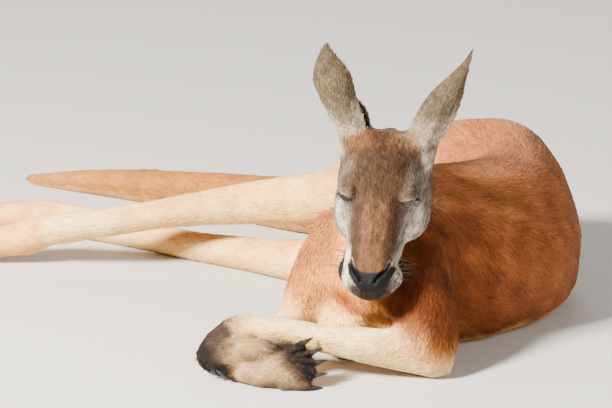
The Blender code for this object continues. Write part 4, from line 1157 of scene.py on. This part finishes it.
whisker_chance = np.random.default_rng(77)
beside_nose = (along > 0.160) & (along < 0.196) & (out > -0.055) & (out < -0.028)
whisker_spots = np.flatnonzero((head > 0.9) & (side_share > 0.020) & beside_nose)
whisker_rows = []
for spot in whisker_chance.choice(whisker_spots, WHISKERS, replace=False):
    sideways = np.array(LEFT) * math.copysign(1.0, aside[spot])
    way = hide_normals[spot] * 0.45 + sideways * 0.75 - np.array(AHEAD) * whisker_chance.uniform(0.0, 0.5)
    way /= np.linalg.norm(way)
    root = places[spot] - hide_normals[spot] * 0.0004
    length = whisker_chance.uniform(*WHISKER_LENGTHS)
    whisker_rows.append((root, way, length, WHISKER_RADIUS, WHISKER_DROOP))
add_bristles("whiskers", whisker_rows)
lash_rows = []
for root, way in zip(lash_roots, lash_ways):
    way = way / np.linalg.norm(way)
    length = whisker_chance.uniform(*LASH_LENGTHS)
    lash_rows.append((root, way, length, LASH_RADIUS, LASH_DROOP))
add_bristles("lashes", lash_rows)


# ---------------------------------------------------------------- the eyes
# Dark brown eyes behind nearly closed lids; only a moist dark line of each shows. They are glass
# balls in a model like this one, set under the lids.
eye_glass, tree, shader = principled("eye_glass")
streaked(
    tree, shader, Stretch=(260, 260, 260), Detail=4.0,
    Dark=(0.006, 0.003, 0.002, 1), Light=(0.035, 0.017, 0.009, 1),
)
shader.inputs["Roughness"].default_value = 0.16
shader.inputs["Coat Weight"].default_value = 0.5
for node in eyes:
    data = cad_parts[node].data
    data.materials.clear()
    data.materials.append(eye_glass)


# ---------------------------------------------------------------- the claws
# Black horn claws with a browner grain, one at the end of each finger and toe. Each grows out of
# the skin over the last bone and bears no hair.
horn, tree, shader = principled("claw_horn")
grain = streaked(
    tree,
    shader,
    Stretch=(60, 260, 260),
    Detail=5.0,
    Dark=(0.004, 0.003, 0.003, 1),
    Light=(0.045, 0.034, 0.027, 1),
    **{"Dark Below": 0.35, "Light Above": 0.80},
)
raised = add_node(tree, "ShaderNodeBump", [(grain, "Grain", "Height")], Strength=0.25, Distance=0.0004)
tree.links.new(raised.outputs["Normal"], shader.inputs["Normal"])
shader.inputs["Roughness"].default_value = 0.44
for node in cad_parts:
    if node.startswith("claw_"):
        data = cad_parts[node].data
        data.materials.clear()
        data.materials.append(horn)


# ---------------------------------------------------------------- the floor, the light and the camera
# A plain pale floor and soft square lights, the strongest high on the left in front, with a dim
# pale sky all round. The camera looks a little down at the face from the front.
FLOOR_REACH = 6.0
floor_corners = FLOOR_REACH * np.array(((-1, -1, 0), (1, -1, 0), (1, 1, 0), (-1, 1, 0)), float)
floor = new_object("floor", floor_corners, np.array(((0, 1, 2, 3),)))
paving, tree, shader = principled("floor_plain")
shader.inputs["Base Color"].default_value = (0.62, 0.60, 0.57, 1)
shader.inputs["Roughness"].default_value = 0.9
floor.data.materials.append(paving)


def add_light(name, place, aim, size, power, colour):
    """A soft square light aimed at a place."""
    data = bpy.data.lights.new(name, "AREA")
    data.size, data.energy, data.color = size, power, colour
    lamp = bpy.data.objects.new(name, data)
    lamp.location = place
    lamp.rotation_euler = (Vector(aim) - Vector(place)).to_track_quat("-Z", "Y").to_euler()
    bpy.context.scene.collection.objects.link(lamp)


add_light("key", (-2.6, -2.8, 2.7), (0.1, -0.1, 0.1), 0.8, 1200, (1.0, 0.945, 0.87))
add_light("fill", (2.6, -3.0, 1.8), (0.2, 0.0, 0.1), 2.4, 100, (1.0, 0.95, 0.88))
add_light("back", (0.6, 3.2, 2.6), (0.1, 0.1, 0.1), 2.0, 60, (1.0, 0.98, 0.95))
world = bpy.data.worlds.new("pale")
world.use_nodes = True
world.node_tree.nodes["Background"].inputs["Color"].default_value = (0.90, 0.88, 0.86, 1)
world.node_tree.nodes["Background"].inputs["Strength"].default_value = 0.33
bpy.context.scene.world = world

FOCAL_LENGTH, SENSOR_WIDTH = 182.353, 36
CAMERA_FROM_EYES = Vector((-0.0972, -4.0179, 1.0642))
CAMERA_TILT = 75
lens = bpy.data.cameras.new("camera")
lens.lens = FOCAL_LENGTH
lens.sensor_width = SENSOR_WIDTH
camera = bpy.data.objects.new("camera", lens)
camera.location = (eye_middle["left"] + eye_middle["right"]) / 2 + CAMERA_FROM_EYES
camera.rotation_euler = (math.radians(CAMERA_TILT), 0, 0)
bpy.context.scene.collection.objects.link(camera)
bpy.context.scene.camera = camera
